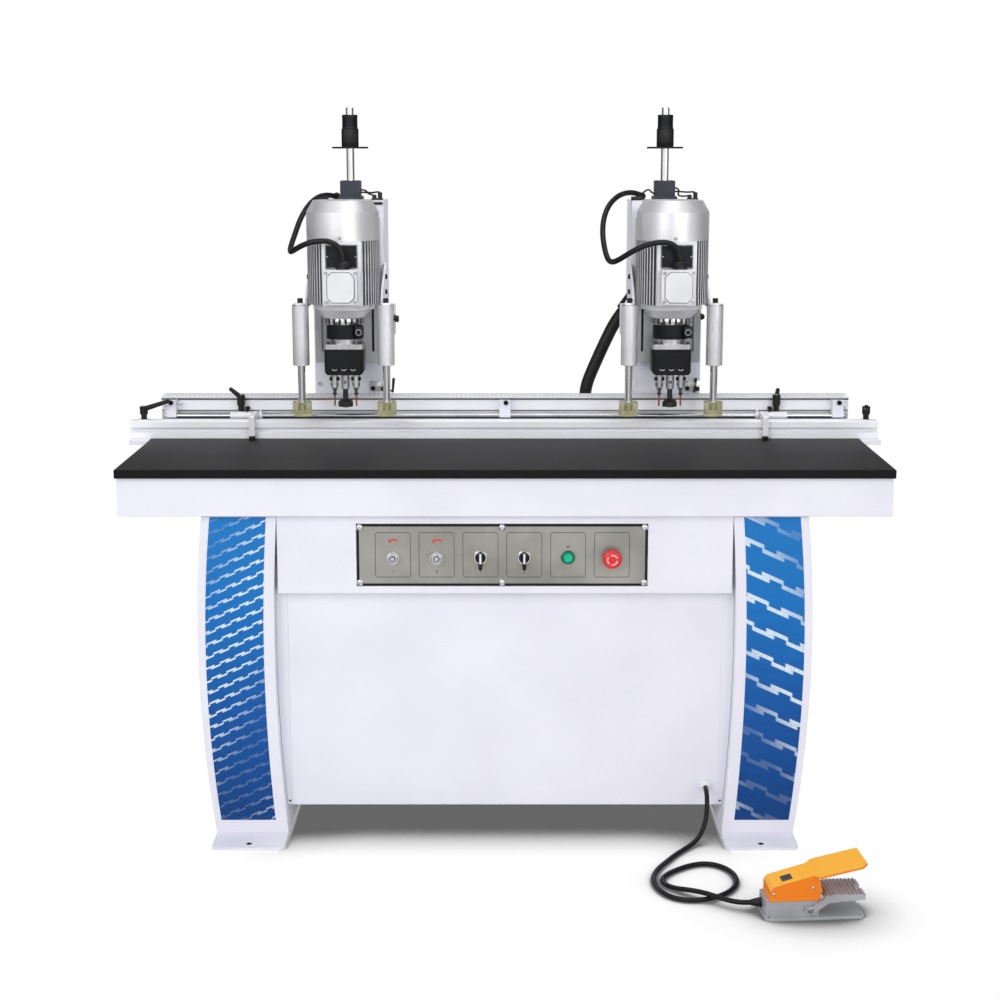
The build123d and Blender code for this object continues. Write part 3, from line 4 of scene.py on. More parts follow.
import bmesh
import bpy
from mathutils import Vector
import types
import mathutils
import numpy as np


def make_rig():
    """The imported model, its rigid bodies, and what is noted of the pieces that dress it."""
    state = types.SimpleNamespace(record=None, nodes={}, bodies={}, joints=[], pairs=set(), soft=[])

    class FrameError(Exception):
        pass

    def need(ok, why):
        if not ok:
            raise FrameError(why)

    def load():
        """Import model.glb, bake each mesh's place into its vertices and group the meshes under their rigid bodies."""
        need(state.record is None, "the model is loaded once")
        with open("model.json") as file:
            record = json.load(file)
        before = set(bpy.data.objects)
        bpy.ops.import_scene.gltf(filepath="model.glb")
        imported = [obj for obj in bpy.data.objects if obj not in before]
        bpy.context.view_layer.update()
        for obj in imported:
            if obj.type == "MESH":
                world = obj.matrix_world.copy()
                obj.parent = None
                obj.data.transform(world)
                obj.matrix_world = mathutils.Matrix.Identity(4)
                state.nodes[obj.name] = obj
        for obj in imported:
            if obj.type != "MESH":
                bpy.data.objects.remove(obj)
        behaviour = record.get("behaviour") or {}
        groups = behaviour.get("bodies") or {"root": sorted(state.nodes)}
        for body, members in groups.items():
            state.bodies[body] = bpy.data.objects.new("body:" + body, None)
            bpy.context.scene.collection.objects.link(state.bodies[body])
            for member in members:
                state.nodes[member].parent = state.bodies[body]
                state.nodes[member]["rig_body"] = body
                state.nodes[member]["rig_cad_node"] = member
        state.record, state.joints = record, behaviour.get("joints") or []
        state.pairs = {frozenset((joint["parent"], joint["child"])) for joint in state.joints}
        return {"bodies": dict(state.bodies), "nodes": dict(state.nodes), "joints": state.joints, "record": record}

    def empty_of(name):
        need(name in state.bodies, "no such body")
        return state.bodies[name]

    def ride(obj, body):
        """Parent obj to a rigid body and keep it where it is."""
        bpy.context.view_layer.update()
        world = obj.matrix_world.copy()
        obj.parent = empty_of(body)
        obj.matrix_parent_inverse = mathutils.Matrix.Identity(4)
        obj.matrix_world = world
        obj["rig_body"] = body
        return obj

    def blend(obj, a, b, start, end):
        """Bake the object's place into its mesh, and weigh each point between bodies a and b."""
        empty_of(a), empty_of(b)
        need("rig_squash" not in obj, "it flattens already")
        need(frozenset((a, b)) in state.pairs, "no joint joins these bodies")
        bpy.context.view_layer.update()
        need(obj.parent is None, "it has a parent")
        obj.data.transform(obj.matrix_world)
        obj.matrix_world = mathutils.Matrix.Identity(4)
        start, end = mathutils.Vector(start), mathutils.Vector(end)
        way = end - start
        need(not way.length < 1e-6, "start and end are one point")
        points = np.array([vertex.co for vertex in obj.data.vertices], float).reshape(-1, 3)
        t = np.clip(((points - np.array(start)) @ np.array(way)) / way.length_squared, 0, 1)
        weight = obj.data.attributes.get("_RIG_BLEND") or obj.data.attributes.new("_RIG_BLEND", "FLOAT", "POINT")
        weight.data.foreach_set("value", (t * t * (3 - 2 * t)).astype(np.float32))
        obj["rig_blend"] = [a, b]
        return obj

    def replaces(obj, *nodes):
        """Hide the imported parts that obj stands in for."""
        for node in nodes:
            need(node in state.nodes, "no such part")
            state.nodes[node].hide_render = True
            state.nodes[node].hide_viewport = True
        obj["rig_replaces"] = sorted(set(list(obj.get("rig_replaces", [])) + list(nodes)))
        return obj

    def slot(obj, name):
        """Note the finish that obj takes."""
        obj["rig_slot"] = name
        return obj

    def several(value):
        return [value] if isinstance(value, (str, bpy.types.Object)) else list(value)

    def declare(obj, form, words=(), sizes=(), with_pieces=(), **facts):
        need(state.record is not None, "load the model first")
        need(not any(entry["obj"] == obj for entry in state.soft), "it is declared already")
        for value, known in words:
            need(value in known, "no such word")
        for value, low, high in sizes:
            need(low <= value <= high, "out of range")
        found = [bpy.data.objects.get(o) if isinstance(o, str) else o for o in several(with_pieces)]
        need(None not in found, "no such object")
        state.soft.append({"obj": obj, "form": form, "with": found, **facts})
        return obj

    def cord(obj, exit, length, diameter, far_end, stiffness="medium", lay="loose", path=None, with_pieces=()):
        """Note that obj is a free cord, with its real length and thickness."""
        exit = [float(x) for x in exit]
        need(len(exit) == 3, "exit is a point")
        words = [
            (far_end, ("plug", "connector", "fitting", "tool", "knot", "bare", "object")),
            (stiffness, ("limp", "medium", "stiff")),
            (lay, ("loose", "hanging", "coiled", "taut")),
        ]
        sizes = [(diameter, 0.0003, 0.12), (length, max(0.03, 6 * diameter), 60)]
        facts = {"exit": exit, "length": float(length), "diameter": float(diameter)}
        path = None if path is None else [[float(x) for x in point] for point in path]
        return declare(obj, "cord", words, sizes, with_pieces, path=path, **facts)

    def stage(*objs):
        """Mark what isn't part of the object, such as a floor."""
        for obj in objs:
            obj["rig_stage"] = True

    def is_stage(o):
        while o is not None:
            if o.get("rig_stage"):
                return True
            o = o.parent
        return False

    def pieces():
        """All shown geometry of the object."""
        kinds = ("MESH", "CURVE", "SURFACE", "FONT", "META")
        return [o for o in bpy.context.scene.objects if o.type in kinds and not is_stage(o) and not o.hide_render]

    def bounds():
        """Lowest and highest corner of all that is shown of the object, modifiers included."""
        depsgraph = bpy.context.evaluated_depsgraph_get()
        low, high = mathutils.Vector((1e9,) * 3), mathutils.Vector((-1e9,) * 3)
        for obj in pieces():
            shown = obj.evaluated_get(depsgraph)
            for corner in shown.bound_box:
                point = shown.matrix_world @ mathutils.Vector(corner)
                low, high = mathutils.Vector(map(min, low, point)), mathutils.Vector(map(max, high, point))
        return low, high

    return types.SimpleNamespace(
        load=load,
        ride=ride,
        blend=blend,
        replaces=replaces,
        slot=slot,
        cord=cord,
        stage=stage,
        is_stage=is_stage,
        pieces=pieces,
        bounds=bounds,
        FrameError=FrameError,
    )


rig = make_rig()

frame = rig.load()
cad_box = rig.bounds()
nodes = frame["nodes"]

# A millimetre, and where the middles of the heads are along the table, in metres
MM = 0.001
HEADS = {"left": -0.356, "right": 0.368}

# Places that come from the solids, in millimetres
HANDS = {"left": -1, "right": 1}
DRILL_Y = 62
FEED_Y = 290
CLAMP_X = 94
CLAMP_Y = 34
SPINDLE_STEP = 24
LEG_FRONT = -280
FOOT_HOLE = (539.5, 346)
FOOT_HOLE_R = 6.2
PANEL_FACE = -280.5
DEVICE_Z = 610
CELL_X = (-233, -142, -51, 40, 131, 222)
STOPS = {"left": (-569, -1), "right": (586, 1)}
HOSE_X = 188
PEDAL_CENTRE = (589, -675, 0)
PEDAL_TURN = 4.5

FRONT = Vector((0, -1, 0))
BACK = Vector((0, 1, 0))
UP = Vector((0, 0, 1))
DOWN = Vector((0, 0, -1))
RIGHT = Vector((1, 0, 0))
LEFT = Vector((-1, 0, 0))

# Camera of the photograph
CAMERA_PLACE = (0.0, -3.9283, 1.4532)
CAMERA_PITCH = 11.1875
CAMERA_SENSOR = 36
CAMERA_LENS = 64.8
CAMERA_SHIFT = -0.005


def make_camera():
    """The photograph's viewpoint: in front, a little above the table, looking slightly down."""
    data = bpy.data.cameras.new("camera")
    data.sensor_width = CAMERA_SENSOR
    data.lens = CAMERA_LENS
    data.shift_x = CAMERA_SHIFT
    camera = bpy.data.objects.new("camera", data)
    camera.location = CAMERA_PLACE
    camera.rotation_euler = (radians(90 - CAMERA_PITCH), 0, 0)
    bpy.context.scene.collection.objects.link(camera)
    bpy.context.scene.camera = camera


make_camera()


# Small helpers


def both(value):
    """A value on either side of zero."""
    return (-value, value)


def even(low, high, count):
    """Evenly spaced values from one to another, ends included."""
    return [low + (high - low) * step / count for step in range(count + 1)]


def metres(route, cx=0.0):
    """A route's points, given in millimetres, moved along the table by cx."""
    return [(cx + x / 1000, y / 1000, z / 1000) for x, y, z in route]


def heading(turn):
    """The level direction at an angle from +X, in degrees."""
    return Vector((cos(radians(turn)), sin(radians(turn)), 0))


def grey(level):
    """A grey of some linear level."""
    return (level, level, level, 1)


def srgb(red, green, blue):
    """A colour as a screen shows it, 0 to 255, as the linear colour that shaders take."""

    def linear(value):
        share = value / 255
        return share / 12.92 if share <= 0.04045 else ((share + 0.055) / 1.055) ** 2.4

    return (linear(red), linear(green), linear(blue), 1.0)


# Procedural finishes

BEVEL_SAMPLES = 4
EDGE_SPAN = (0.8, 0.99)
PATCH_STOPS = (0.32, 0.68)
SCUFF_SCALE = 90.0
SCUFF_SPAN = (0.42, 0.72)


class Tree:
    """A tree of shader nodes, and short ways to add to it."""

    def __init__(self, tree):
        self.tree = tree

    def feed(self, socket, value):
        """Link an output to a socket, or set the socket's value."""
        if isinstance(value, bpy.types.NodeSocket):
            self.tree.links.new(value, socket)
        else:
            socket.default_value = value

    def node(self, kind, *values, **named):
        """A new node, with some of its inputs fed in order or by name."""
        made = self.tree.nodes.new("ShaderNode" + kind)
        for socket, value in zip(made.inputs, values):
            self.feed(socket, value)
        for name, value in named.items():
            self.feed(made.inputs[name.replace("_", " ")], value)
        return made

    def span(self, value, to_min, to_max, from_min=0.3, from_max=0.7):
        """A value stretched from one range to another."""
        limits = dict(From_Min=from_min, From_Max=from_max, To_Min=to_min, To_Max=to_max)
        return self.node("MapRange", Value=value, **limits).outputs["Result"]

    def ramp(self, value, *stops):
        """A colour for each value, from (place, colour) stops."""
        made = self.node("ValToRGB", Fac=value)
        elements = made.color_ramp.elements
        while len(elements) < len(stops):
            elements.new(0.5)
        for element, (place, color) in zip(elements, stops):
            element.position = place
            element.color = color
        return made.outputs["Color"]

    def math(self, operation, first, second=0.0):
        """One arithmetic step."""
        made = self.node("Math")
        made.operation = operation
        self.feed(made.inputs[0], first)
        self.feed(made.inputs[1], second)
        return made.outputs[0]

    def axes(self, vector):
        """A vector's three parts."""
        return self.node("SeparateXYZ", Vector=vector).outputs

    def choose(self, share, first, second):
        """A shader between two, by a share."""
        return self.node("MixShader", share, first.outputs[0], second.outputs[0])


class Finish(Tree):
    """A procedural material: a Principled shader and the nodes that feed it."""

    def __init__(self, name, **sockets):
        self.material = bpy.data.materials.new(name)
        self.material.use_nodes = True
        super().__init__(self.material.node_tree)
        self.shader = self.tree.nodes["Principled BSDF"]
        for socket, value in sockets.items():
            self.wire(value, socket.replace("_", " "))
        self.place = self.node("TexCoord").outputs["Object"]

    def wire(self, value, socket):
        """Feed a socket of the shader."""
        self.feed(self.shader.inputs[socket], value)

    def noise(self, scale, stretch=(1, 1, 1), detail=3.0):
        """Noise in the object's own space, finer along an axis where its stretch is larger."""
        place = self.node("Mapping", Vector=self.place, Scale=stretch).outputs["Vector"]
        return self.node("TexNoise", Vector=place, Scale=scale, Detail=detail).outputs["Fac"]

    def blend(self, share, first, second):
        """A colour between two, by a share."""
        made = self.node("Mix")
        made.data_type = "RGBA"
        for number, value in ((0, share), (6, first), (7, second)):
            self.feed(made.inputs[number], value)
        return made.outputs[2]

    def facing(self):
        """The surface's direction."""
        return self.node("NewGeometry").outputs["Normal"]

    def rounded(self, radius):
        """The surface's direction with its edges eased by a radius."""
        made = self.node("Bevel", Radius=radius)
        made.samples = BEVEL_SAMPLES
        return made.outputs["Normal"]

    def edges(self, radius):
        """1 along sharp edges and 0 on open faces."""
        made = self.node("VectorMath")
        made.operation = "DOT_PRODUCT"
        self.feed(made.inputs[0], self.rounded(radius))
        self.feed(made.inputs[1], self.facing())
        return self.span(made.outputs["Value"], 1.0, 0.0, *EDGE_SPAN)

    def relief(self, height, depth, normal=None):
        """Bumps of a real depth, on top of a surface direction."""
        made = self.node("Bump", Height=height, Distance=depth, Strength=1.0)
        if normal is not None:
            self.feed(made.inputs["Normal"], normal)
        self.wire(made.outputs["Normal"], "Normal")


def coated(name, dark, light, rough, worn=None, patch=5.0, grain=700.0, stretch=(1, 1, 1), depth=4e-5,
           edge=0.0012, **sockets):
    """A painted, plated or moulded finish: uneven colour, grain in gloss and relief, and worn edges."""
    finish = Finish(name, **sockets)
    grains = finish.noise(grain, stretch)
    stops = zip(PATCH_STOPS, (srgb(*dark), srgb(*light)))
    color = finish.ramp(finish.noise(patch, detail=5.0), *stops)
    if worn is not None:
        scuffs = finish.span(finish.noise(SCUFF_SCALE), 0.0, 1.0, *SCUFF_SPAN)
        color = finish.blend(finish.math("MULTIPLY", finish.edges(edge), scuffs), color, srgb(*worn))
    finish.wire(color, "Base Color")
    finish.wire(finish.span(grains, *rough), "Roughness")
    finish.relief(grains, depth, finish.rounded(edge))
    return finish.material


ALONG_X = (0.02, 1, 1)
ALONG_Z = (1, 1, 0.02)

# Coated finishes: dark and light colour, range of roughness, and what else differs from the usual
COATED = {
    "white_paint": ((231, 230, 240), (239, 238, 247), (0.34, 0.46), dict(
        worn=(198, 198, 206), grain=420, depth=5e-5, edge=0.0018, Specular_IOR_Level=0.45)),
    "table_laminate": ((8, 8, 10), (14, 13, 16), (0.4, 0.54), dict(
        worn=(40, 38, 39), patch=7, grain=1400, depth=6e-5, edge=0.001, Specular_IOR_Level=0.2)),
    "stainless": ((158, 157, 150), (190, 189, 182), (0.3, 0.46), dict(
        patch=9, grain=2600, stretch=ALONG_X, depth=2e-5, edge=0.0004, Metallic=0.85)),
    "aluminium": ((244, 244, 249), (250, 250, 254), (0.34, 0.48), dict(
        worn=(214, 214, 219), patch=6, grain=1800, stretch=ALONG_X, depth=2e-5, edge=0.0008, Metallic=0.05)),
    "slide_grey": ((186, 187, 190), (208, 209, 211), (0.32, 0.46), dict(
        worn=(226, 226, 228), patch=8, grain=1500, stretch=ALONG_Z, depth=2e-5, edge=0.001, Metallic=0.55)),
    "tube_satin": ((208, 208, 211), (226, 226, 229), (0.26, 0.38), dict(
        patch=10, grain=2200, stretch=ALONG_Z, depth=1e-5, edge=0.0006, Metallic=0.5)),
    "steel": ((176, 176, 178), (204, 204, 206), (0.2, 0.34), dict(
        worn=(150, 150, 152), patch=20, grain=2400, depth=1e-5, edge=0.0004, Metallic=0.95)),
    "chrome": ((226, 226, 229), (238, 238, 240), (0.07, 0.14), dict(
        patch=14, grain=1600, stretch=ALONG_Z, depth=4e-6, edge=0.0005, Metallic=1.0)),
    "chrome_rod": ((176, 176, 180), (196, 196, 200), (0.08, 0.16), dict(
        patch=14, grain=1600, stretch=ALONG_X, depth=4e-6, edge=0.0005, Metallic=1.0)),
    "motor_paint": ((214, 213, 216), (234, 233, 236), (0.3, 0.42), dict(
        worn=(176, 176, 179), patch=9, grain=900, depth=5e-5, edge=0.001, Metallic=0.65)),
    "fin_paint": ((216, 215, 218), (234, 233, 236), (0.3, 0.42), dict(
        worn=(190, 190, 193), patch=9, grain=900, depth=5e-5, edge=0.001, Metallic=0.25)),
    # Painted shade: a darker grey for the faces between the motor's fins.
    "fin_gap_painted_shade": ((104, 104, 108), (126, 126, 130), (0.44, 0.58), dict(
        patch=30, grain=900, depth=5e-5, edge=0.0004)),
    "motor_light": ((208, 208, 212), (222, 222, 225), (0.34, 0.46), dict(
        worn=(196, 196, 199), patch=12, grain=900, edge=0.001, Metallic=0.1)),
    "black_oxide": ((12, 13, 18), (20, 22, 28), (0.34, 0.48), dict(
        worn=(70, 71, 76), patch=16, grain=1300, depth=3e-5, edge=0.0006, Specular_IOR_Level=0.2)),
    "charcoal_block": ((42, 45, 53), (56, 59, 68), (0.36, 0.48), dict(
        worn=(104, 106, 113), patch=12, grain=1500, depth=2e-5, edge=0.0008, Metallic=0.2,
        Specular_IOR_Level=0.3)),
    "black_plastic": ((15, 15, 17), (26, 26, 28), (0.36, 0.5), dict(
        worn=(56, 56, 58), patch=18, grain=1100, depth=5e-5, edge=0.0006, Specular_IOR_Level=0.32)),
    "white_plastic": ((226, 226, 230), (238, 238, 241), (0.32, 0.44), dict(
        worn=(200, 200, 204), patch=18, grain=1100, depth=2e-5, edge=0.0006)),
    "red_plastic": ((206, 34, 38), (224, 48, 50), (0.22, 0.34), dict(
        worn=(232, 110, 104), patch=22, grain=1100, depth=2e-5, edge=0.0006)),
    "pale_red": ((240, 168, 162), (246, 186, 180), (0.3, 0.42), dict(patch=22, depth=1e-5, edge=0.0001)),
    "green_plastic": ((6, 178, 132), (18, 202, 154), (0.22, 0.34), dict(
        worn=(90, 220, 186), patch=22, grain=1100, depth=1e-5, edge=0.0006, Specular_IOR_Level=0.3)),
    "green_ring": ((12, 84, 62), (20, 104, 78), (0.26, 0.38), dict(patch=22, depth=1e-5, edge=0.0004)),
    "print_black": ((46, 46, 46), (62, 61, 58), (0.4, 0.52), dict(patch=60, depth=5e-6, edge=0.0001)),
    "print_red": ((196, 62, 48), (214, 86, 66), (0.4, 0.52), dict(patch=60, depth=5e-6, edge=0.0001)),
    "scale_plate": ((226, 226, 228), (236, 236, 238), (0.36, 0.48), dict(
        patch=6, grain=2000, stretch=ALONG_X, depth=1e-5, edge=0.0003, Metallic=0.1)),
    "copper": ((140, 92, 76), (162, 112, 94), (0.28, 0.42), dict(
        patch=30, depth=1e-5, edge=0.0003, Metallic=0.8)),
    "dark_steel": ((44, 43, 44), (64, 62, 62), (0.3, 0.46), dict(
        worn=(120, 118, 116), patch=40, grain=1600, depth=3e-5, edge=0.0005, Metallic=0.6)),
    "cord_rubber": ((13, 13, 15), (23, 23, 25), (0.42, 0.58), dict(
        patch=25, grain=900, depth=6e-5, edge=0.0003, Specular_IOR_Level=0.3)),
    "hammered_grey": ((164, 166, 169), (188, 190, 193), (0.28, 0.42), dict(
        worn=(214, 215, 217), patch=14, grain=330, depth=1.8e-4, Metallic=0.25)),
}
PRINT_PITCH = {"left": 0.026, "right": 0.058}
PRINT_HEIGHT = 0.7
PRINT_SLANT = 0.45
MOULDED_EDGE = 0.0012


def make_finishes():
    """Every finish on the machine, by the record's slot names and a few of its own."""
    made = {name: coated(name, *looks, **more) for name, (*looks, more) in COATED.items()}
    made["urethane"] = urethane_finish()
    made["guard_plastic"] = guard_finish()
    for side, pitch in PRINT_PITCH.items():
        made[f"leg_print_{side}"] = leg_print_finish(f"leg_print_{side}", pitch)
    return made


def urethane_finish():
    """Cast clear urethane, yellowish green, with a cloudy middle."""
    finish = Finish(
        "urethane", Transmission_Weight=0.76, IOR=1.3, Subsurface_Weight=0.1, Subsurface_Scale=0.006
    )
    clouds = finish.noise(60.0, detail=4.0)
    finish.wire(finish.ramp(clouds, (0.35, srgb(206, 204, 160)), (0.7, srgb(226, 224, 190))), "Base Color")
    finish.wire(finish.span(clouds, 0.16, 0.28), "Roughness")
    finish.relief(finish.noise(500.0), 0.00002, finish.rounded(MOULDED_EDGE))
    return finish.material


def guard_finish():
    """Moulded orange plastic, with painted light and shade: yellower where it faces up, deeper orange on its sides."""
    finish = Finish("guard_plastic", Specular_IOR_Level=0.22)
    mottle = finish.span(finish.noise(30.0), -0.06, 0.06)
    # Painted light and shade: faces that point up are lighter and yellower, and the sides are deeper orange.
    painted_light_by_facing = finish.math("ADD", finish.axes(finish.facing())["Z"], mottle)
    color = finish.ramp(painted_light_by_facing, (0.15, srgb(240, 128, 26)), (0.75, srgb(248, 178, 46)))
    scuffs = finish.span(finish.noise(120.0), 0.0, 0.8)
    worn = finish.math("MULTIPLY", finish.edges(MOULDED_EDGE), scuffs)
    finish.wire(finish.blend(worn, color, srgb(255, 208, 120)), "Base Color")
    grains = finish.noise(900.0)
    finish.wire(finish.span(grains, 0.3, 0.44), "Roughness")
    finish.relief(grains, 0.00004, finish.rounded(MOULDED_EDGE))
    return finish.material


def leg_print_finish(name, pitch):
    """Printed film: azure above, royal blue below, with slanting rows of white dashes that fade in and out."""
    finish = Finish(name, Specular_IOR_Level=0.25)
    step = finish.math
    x, _, z = finish.axes(finish.place)
    streaks = finish.span(finish.noise(14.0, (1, 1, 5)), -0.05, 0.05)
    ground = finish.ramp(
        step("ADD", step("DIVIDE", z, PRINT_HEIGHT), streaks), (0.06, srgb(16, 66, 128)),
        (0.4, srgb(14, 86, 162)), (0.72, srgb(18, 112, 188)), (0.98, srgb(26, 120, 192)),
    )
    across = step("ABSOLUTE", x)
    rows = step("DIVIDE", step("ADD", z, step("MULTIPLY", across, PRINT_SLANT)), pitch)
    stagger = step("MULTIPLY", step("FLOOR", rows), 0.73)
    row = finish.span(step("PINGPONG", rows, 0.5), 1, 0, 0.14, 0.17)
    dash = step("PINGPONG", step("ADD", step("DIVIDE", across, pitch), stagger), 0.62)
    bars = step("MULTIPLY", row, finish.span(dash, 1, 0, 0.37, 0.42))
    wave = step("SINE", step("MULTIPLY", step("ADD", z, step("MULTIPLY", across, 2)), 9))
    shown = step("MULTIPLY", bars, finish.span(wave, 0.1, 0.92, -0.8, 0.8))
    worn = step("MULTIPLY", shown, finish.span(finish.noise(300.0), 0.7, 1.0, 0.36, 0.5))
    finish.wire(finish.blend(worn, ground, srgb(226, 240, 246)), "Base Color")
    finish.wire(finish.span(finish.noise(240.0), 0.26, 0.38), "Roughness")
    finish.relief(finish.noise(240.0), 0.00003)
    return finish.material


FINISH = make_finishes()


# Meshes

SLOT_OF = {
    "black_oxide": "black_oxide", "black_plastic": "black_plastic", "chrome": "chrome", "steel": "steel",
    "cord_rubber": "cord_rubber", "dark_steel": "black_oxide", "green_ring": "green_plastic",
    "guard_plastic": "guard_plastic", "motor_light": "motor_paint", "pale_red": "red_plastic",
    "print_black": "black_plastic", "print_red": "red_plastic", "scale_plate": "aluminium",
    "white_paint": "white_paint", "white_plastic": "white_paint",
}
SMOOTH_UNDER = 35
PIECES = []


class Shape:
    """A mesh under construction, in millimetres or another unit. What adds a form gives back the shape."""

    def __init__(self, name, material, smooth=SMOOTH_UNDER, shift=0.0, unit=MM):
        self.name, self.material, self.smooth, self.shift, self.unit = name, material, smooth, shift, unit
        self.mesh = bmesh.new()

    def loft(self, loops, hollow=False):
        """A skin over loops of equal length, closed at both ends or, if hollow, from the last to the first."""
        rings = [[self.mesh.verts.new(point) for point in loop] for loop in loops]
        count = len(rings[0])
        for near, far in zip(rings, rings[1:] + rings[:1] if hollow else rings[1:]):
            for i in range(count):
                j = (i + 1) % count
                self.mesh.faces.new((near[i], near[j], far[j], far[i]))
        if not hollow:
            self.mesh.faces.new(list(reversed(rings[0])))
            self.mesh.faces.new(rings[-1])
        return self

    def turned(self, base, direction, profile, steps=32):
        """A turned form: (height along the direction, radius) pairs, where a radius may depend on the angle."""
        turn = direction.to_track_quat("Z", "Y")
        angles = [2 * pi * step / steps for step in range(steps)]
        loops = []
        for height, radius in profile:
            middle = Vector(base) + direction * height
            reaches = [radius(angle) if callable(radius) else radius for angle in angles]
            loops.append([
                middle + turn @ Vector((cos(angle) * reach, sin(angle) * reach, 0))
                for angle, reach in zip(angles, reaches)
            ])
        return self.loft(loops)

    def slab(self, low, high, ease):
        """A box between two corners, with eased edges."""
        low, high = Vector(low), Vector(high)
        made = bmesh.ops.create_cube(self.mesh, size=1.0)["verts"]
        for vert in made:
            vert.co = vert.co * (high - low) + (high + low) / 2
        edges = list({edge for vert in made for edge in vert.link_edges})
        bmesh.ops.bevel(self.mesh, geom=edges, offset=ease, segments=2, affect="EDGES", profile=0.5)
        return self

    def plate(self, outline, origin, thickness, ease=0.0, across=RIGHT, along=UP):
        """A flat plate: an outline on two directions, thickened along their cross product, its face eased."""
        out = across.cross(along).normalized()
        flat = [Vector(origin) + across * u + along * v for u, v in outline]
        loops = [flat, [point + out * (thickness - ease) for point in flat]]
        if ease:
            middle = sum(flat, Vector()) / len(flat)
            loops.append([point + (middle - point).normalized() * ease + out * thickness for point in flat])
        return self.loft(loops)

    def ring(self, outer, inner, origin, thickness, across=RIGHT, along=UP):
        """A flat frame between two outlines of equal length."""
        out = across.cross(along).normalized() * thickness
        return self.loft([
            [Vector(origin) + across * u + along * v + out * lift for u, v in outline]
            for outline, lift in ((outer, 0), (outer, 1), (inner, 1), (inner, 0))
        ], hollow=True)

    def flat(self, corners):
        """One flat face."""
        self.mesh.faces.new([self.mesh.verts.new(corner) for corner in corners])
        return self

    def tube(self, points, radius, sides=12):
        """A round tube along points, without twist."""
        angles = [2 * pi * step / sides for step in range(sides)]
        loops, side = [], None
        for i, point in enumerate(points):
            tangent = (points[min(i + 1, len(points) - 1)] - points[max(i - 1, 0)]).normalized()
            if side is None:
                side = tangent.orthogonal().normalized()
            side = (side - tangent * side.dot(tangent)).normalized()
            other = tangent.cross(side)
            loops.append([point + (side * cos(angle) + other * sin(angle)) * radius for angle in angles])
        return self.loft(loops)

    def screw(self, place, direction, radius, height, drive="hex"):
        """A screw head: a socket cap (hex), a domed head (dome) or a hexagon head (bolt)."""
        if drive == "bolt":
            profile = [(0, hexagon(radius)), (height * 0.85, hexagon(radius)), (height, radius * 0.8)]
        elif drive == "hex":
            socket = hexagon(radius * 0.55)
            profile = [(0, radius), (height * 0.85, radius), (height, radius * 0.9)]
            profile += [(height, socket), (height * 0.45, socket)]
        else:
            slot = cross(radius * 0.5)
            profile = [(0, radius), (height * 0.4, radius * 0.95), (height * 0.8, radius * 0.75)]
            profile += [(height, radius * 0.52), (height, slot), (height * 0.5, slot)]
        return self.turned(place, direction, profile, 32 if drive == "dome" else 24)

    def screws(self, places, *looks):
        """Equal screw heads at some places."""
        for place in places:
            self.screw(place, *looks)
        return self

    def write(self, figures, origin, across=RIGHT, along=UP):
        """Some figures, laid flat on a face."""
        points, faces = figures
        verts = [self.mesh.verts.new(Vector(origin) + across * point.x + along * point.y) for point in points]
        for face in faces:
            self.mesh.faces.new([verts[number] for number in face])
        return self

    def object(self):
        """The finished mesh as an object, in metres, smooth across edges under an angle."""
        bmesh.ops.recalc_face_normals(self.mesh, faces=self.mesh.faces)
        for face in self.mesh.faces:
            face.smooth = True
        for edge in self.mesh.edges:
            edge.smooth = len(edge.link_faces) == 2 and edge.calc_face_angle() < radians(self.smooth)
        for vert in self.mesh.verts:
            vert.co = vert.co * self.unit + RIGHT * self.shift
        data = bpy.data.meshes.new(self.name)
        self.mesh.to_mesh(data)
        self.mesh.free()
        data.materials.append(FINISH[self.material])
        made = bpy.data.objects.new(self.name, data)
        bpy.context.scene.collection.objects.link(made)
        return made


def piece(name, body, material, smooth=SMOOTH_UNDER, shift=0.0):
    """A shape that becomes a piece on a body when all its forms are in."""
    PIECES.append((Shape(name, material, smooth, shift), body))
    return PIECES[-1][0]


def ride_pieces():
    """Make the pieces, each moving with its body."""
    for shape, body in PIECES:
        made = shape.object()
        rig.ride(made, body)
        if shape.material in SLOT_OF:
            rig.slot(made, SLOT_OF[shape.material])


def rounded_outline(width, height, radius, steps=6):
    """Points round a rectangle with round corners, about its middle."""
    points = []
    for quarter, (sx, sy) in enumerate(((1, 1), (-1, 1), (-1, -1), (1, -1))):
        x, y = sx * (width / 2 - radius), sy * (height / 2 - radius)
        for turn in even(90 * quarter, 90 * quarter + 90, steps):
            points.append((x + cos(radians(turn)) * radius, y + sin(radians(turn)) * radius))
    return points


def hexagon(radius):
    """A hexagon's reach by angle."""
    return lambda angle: radius * cos(pi / 6) / cos(angle % (pi / 3) - pi / 6)


def cross(radius):
    """A cross recess's reach by angle."""
    return lambda angle: radius * (0.35 + 0.65 * max(0.0, cos(4 * angle)))


def ribbed(radius, depth, count):
    """A ribbed grip's reach by angle."""
    return lambda angle: radius + depth * cos(count * angle)


def traced(curve):
    """The corners and faces that a curve makes, and no curve left."""
    holder = bpy.data.objects.new("traced", curve)
    mesh = bpy.data.meshes.new_from_object(holder)
    made = [vert.co.copy() for vert in mesh.vertices], [list(face.vertices) for face in mesh.polygons]
    bpy.data.meshes.remove(mesh)
    bpy.data.objects.remove(holder)
    bpy.data.curves.remove(curve)
    return made


# Cords

CORD_LOOK = {"cable": 0.012, "hose": 0.028, "foot": 0.01}
CABLE_LENGTH = {"left": 0.527, "right": 0.589}

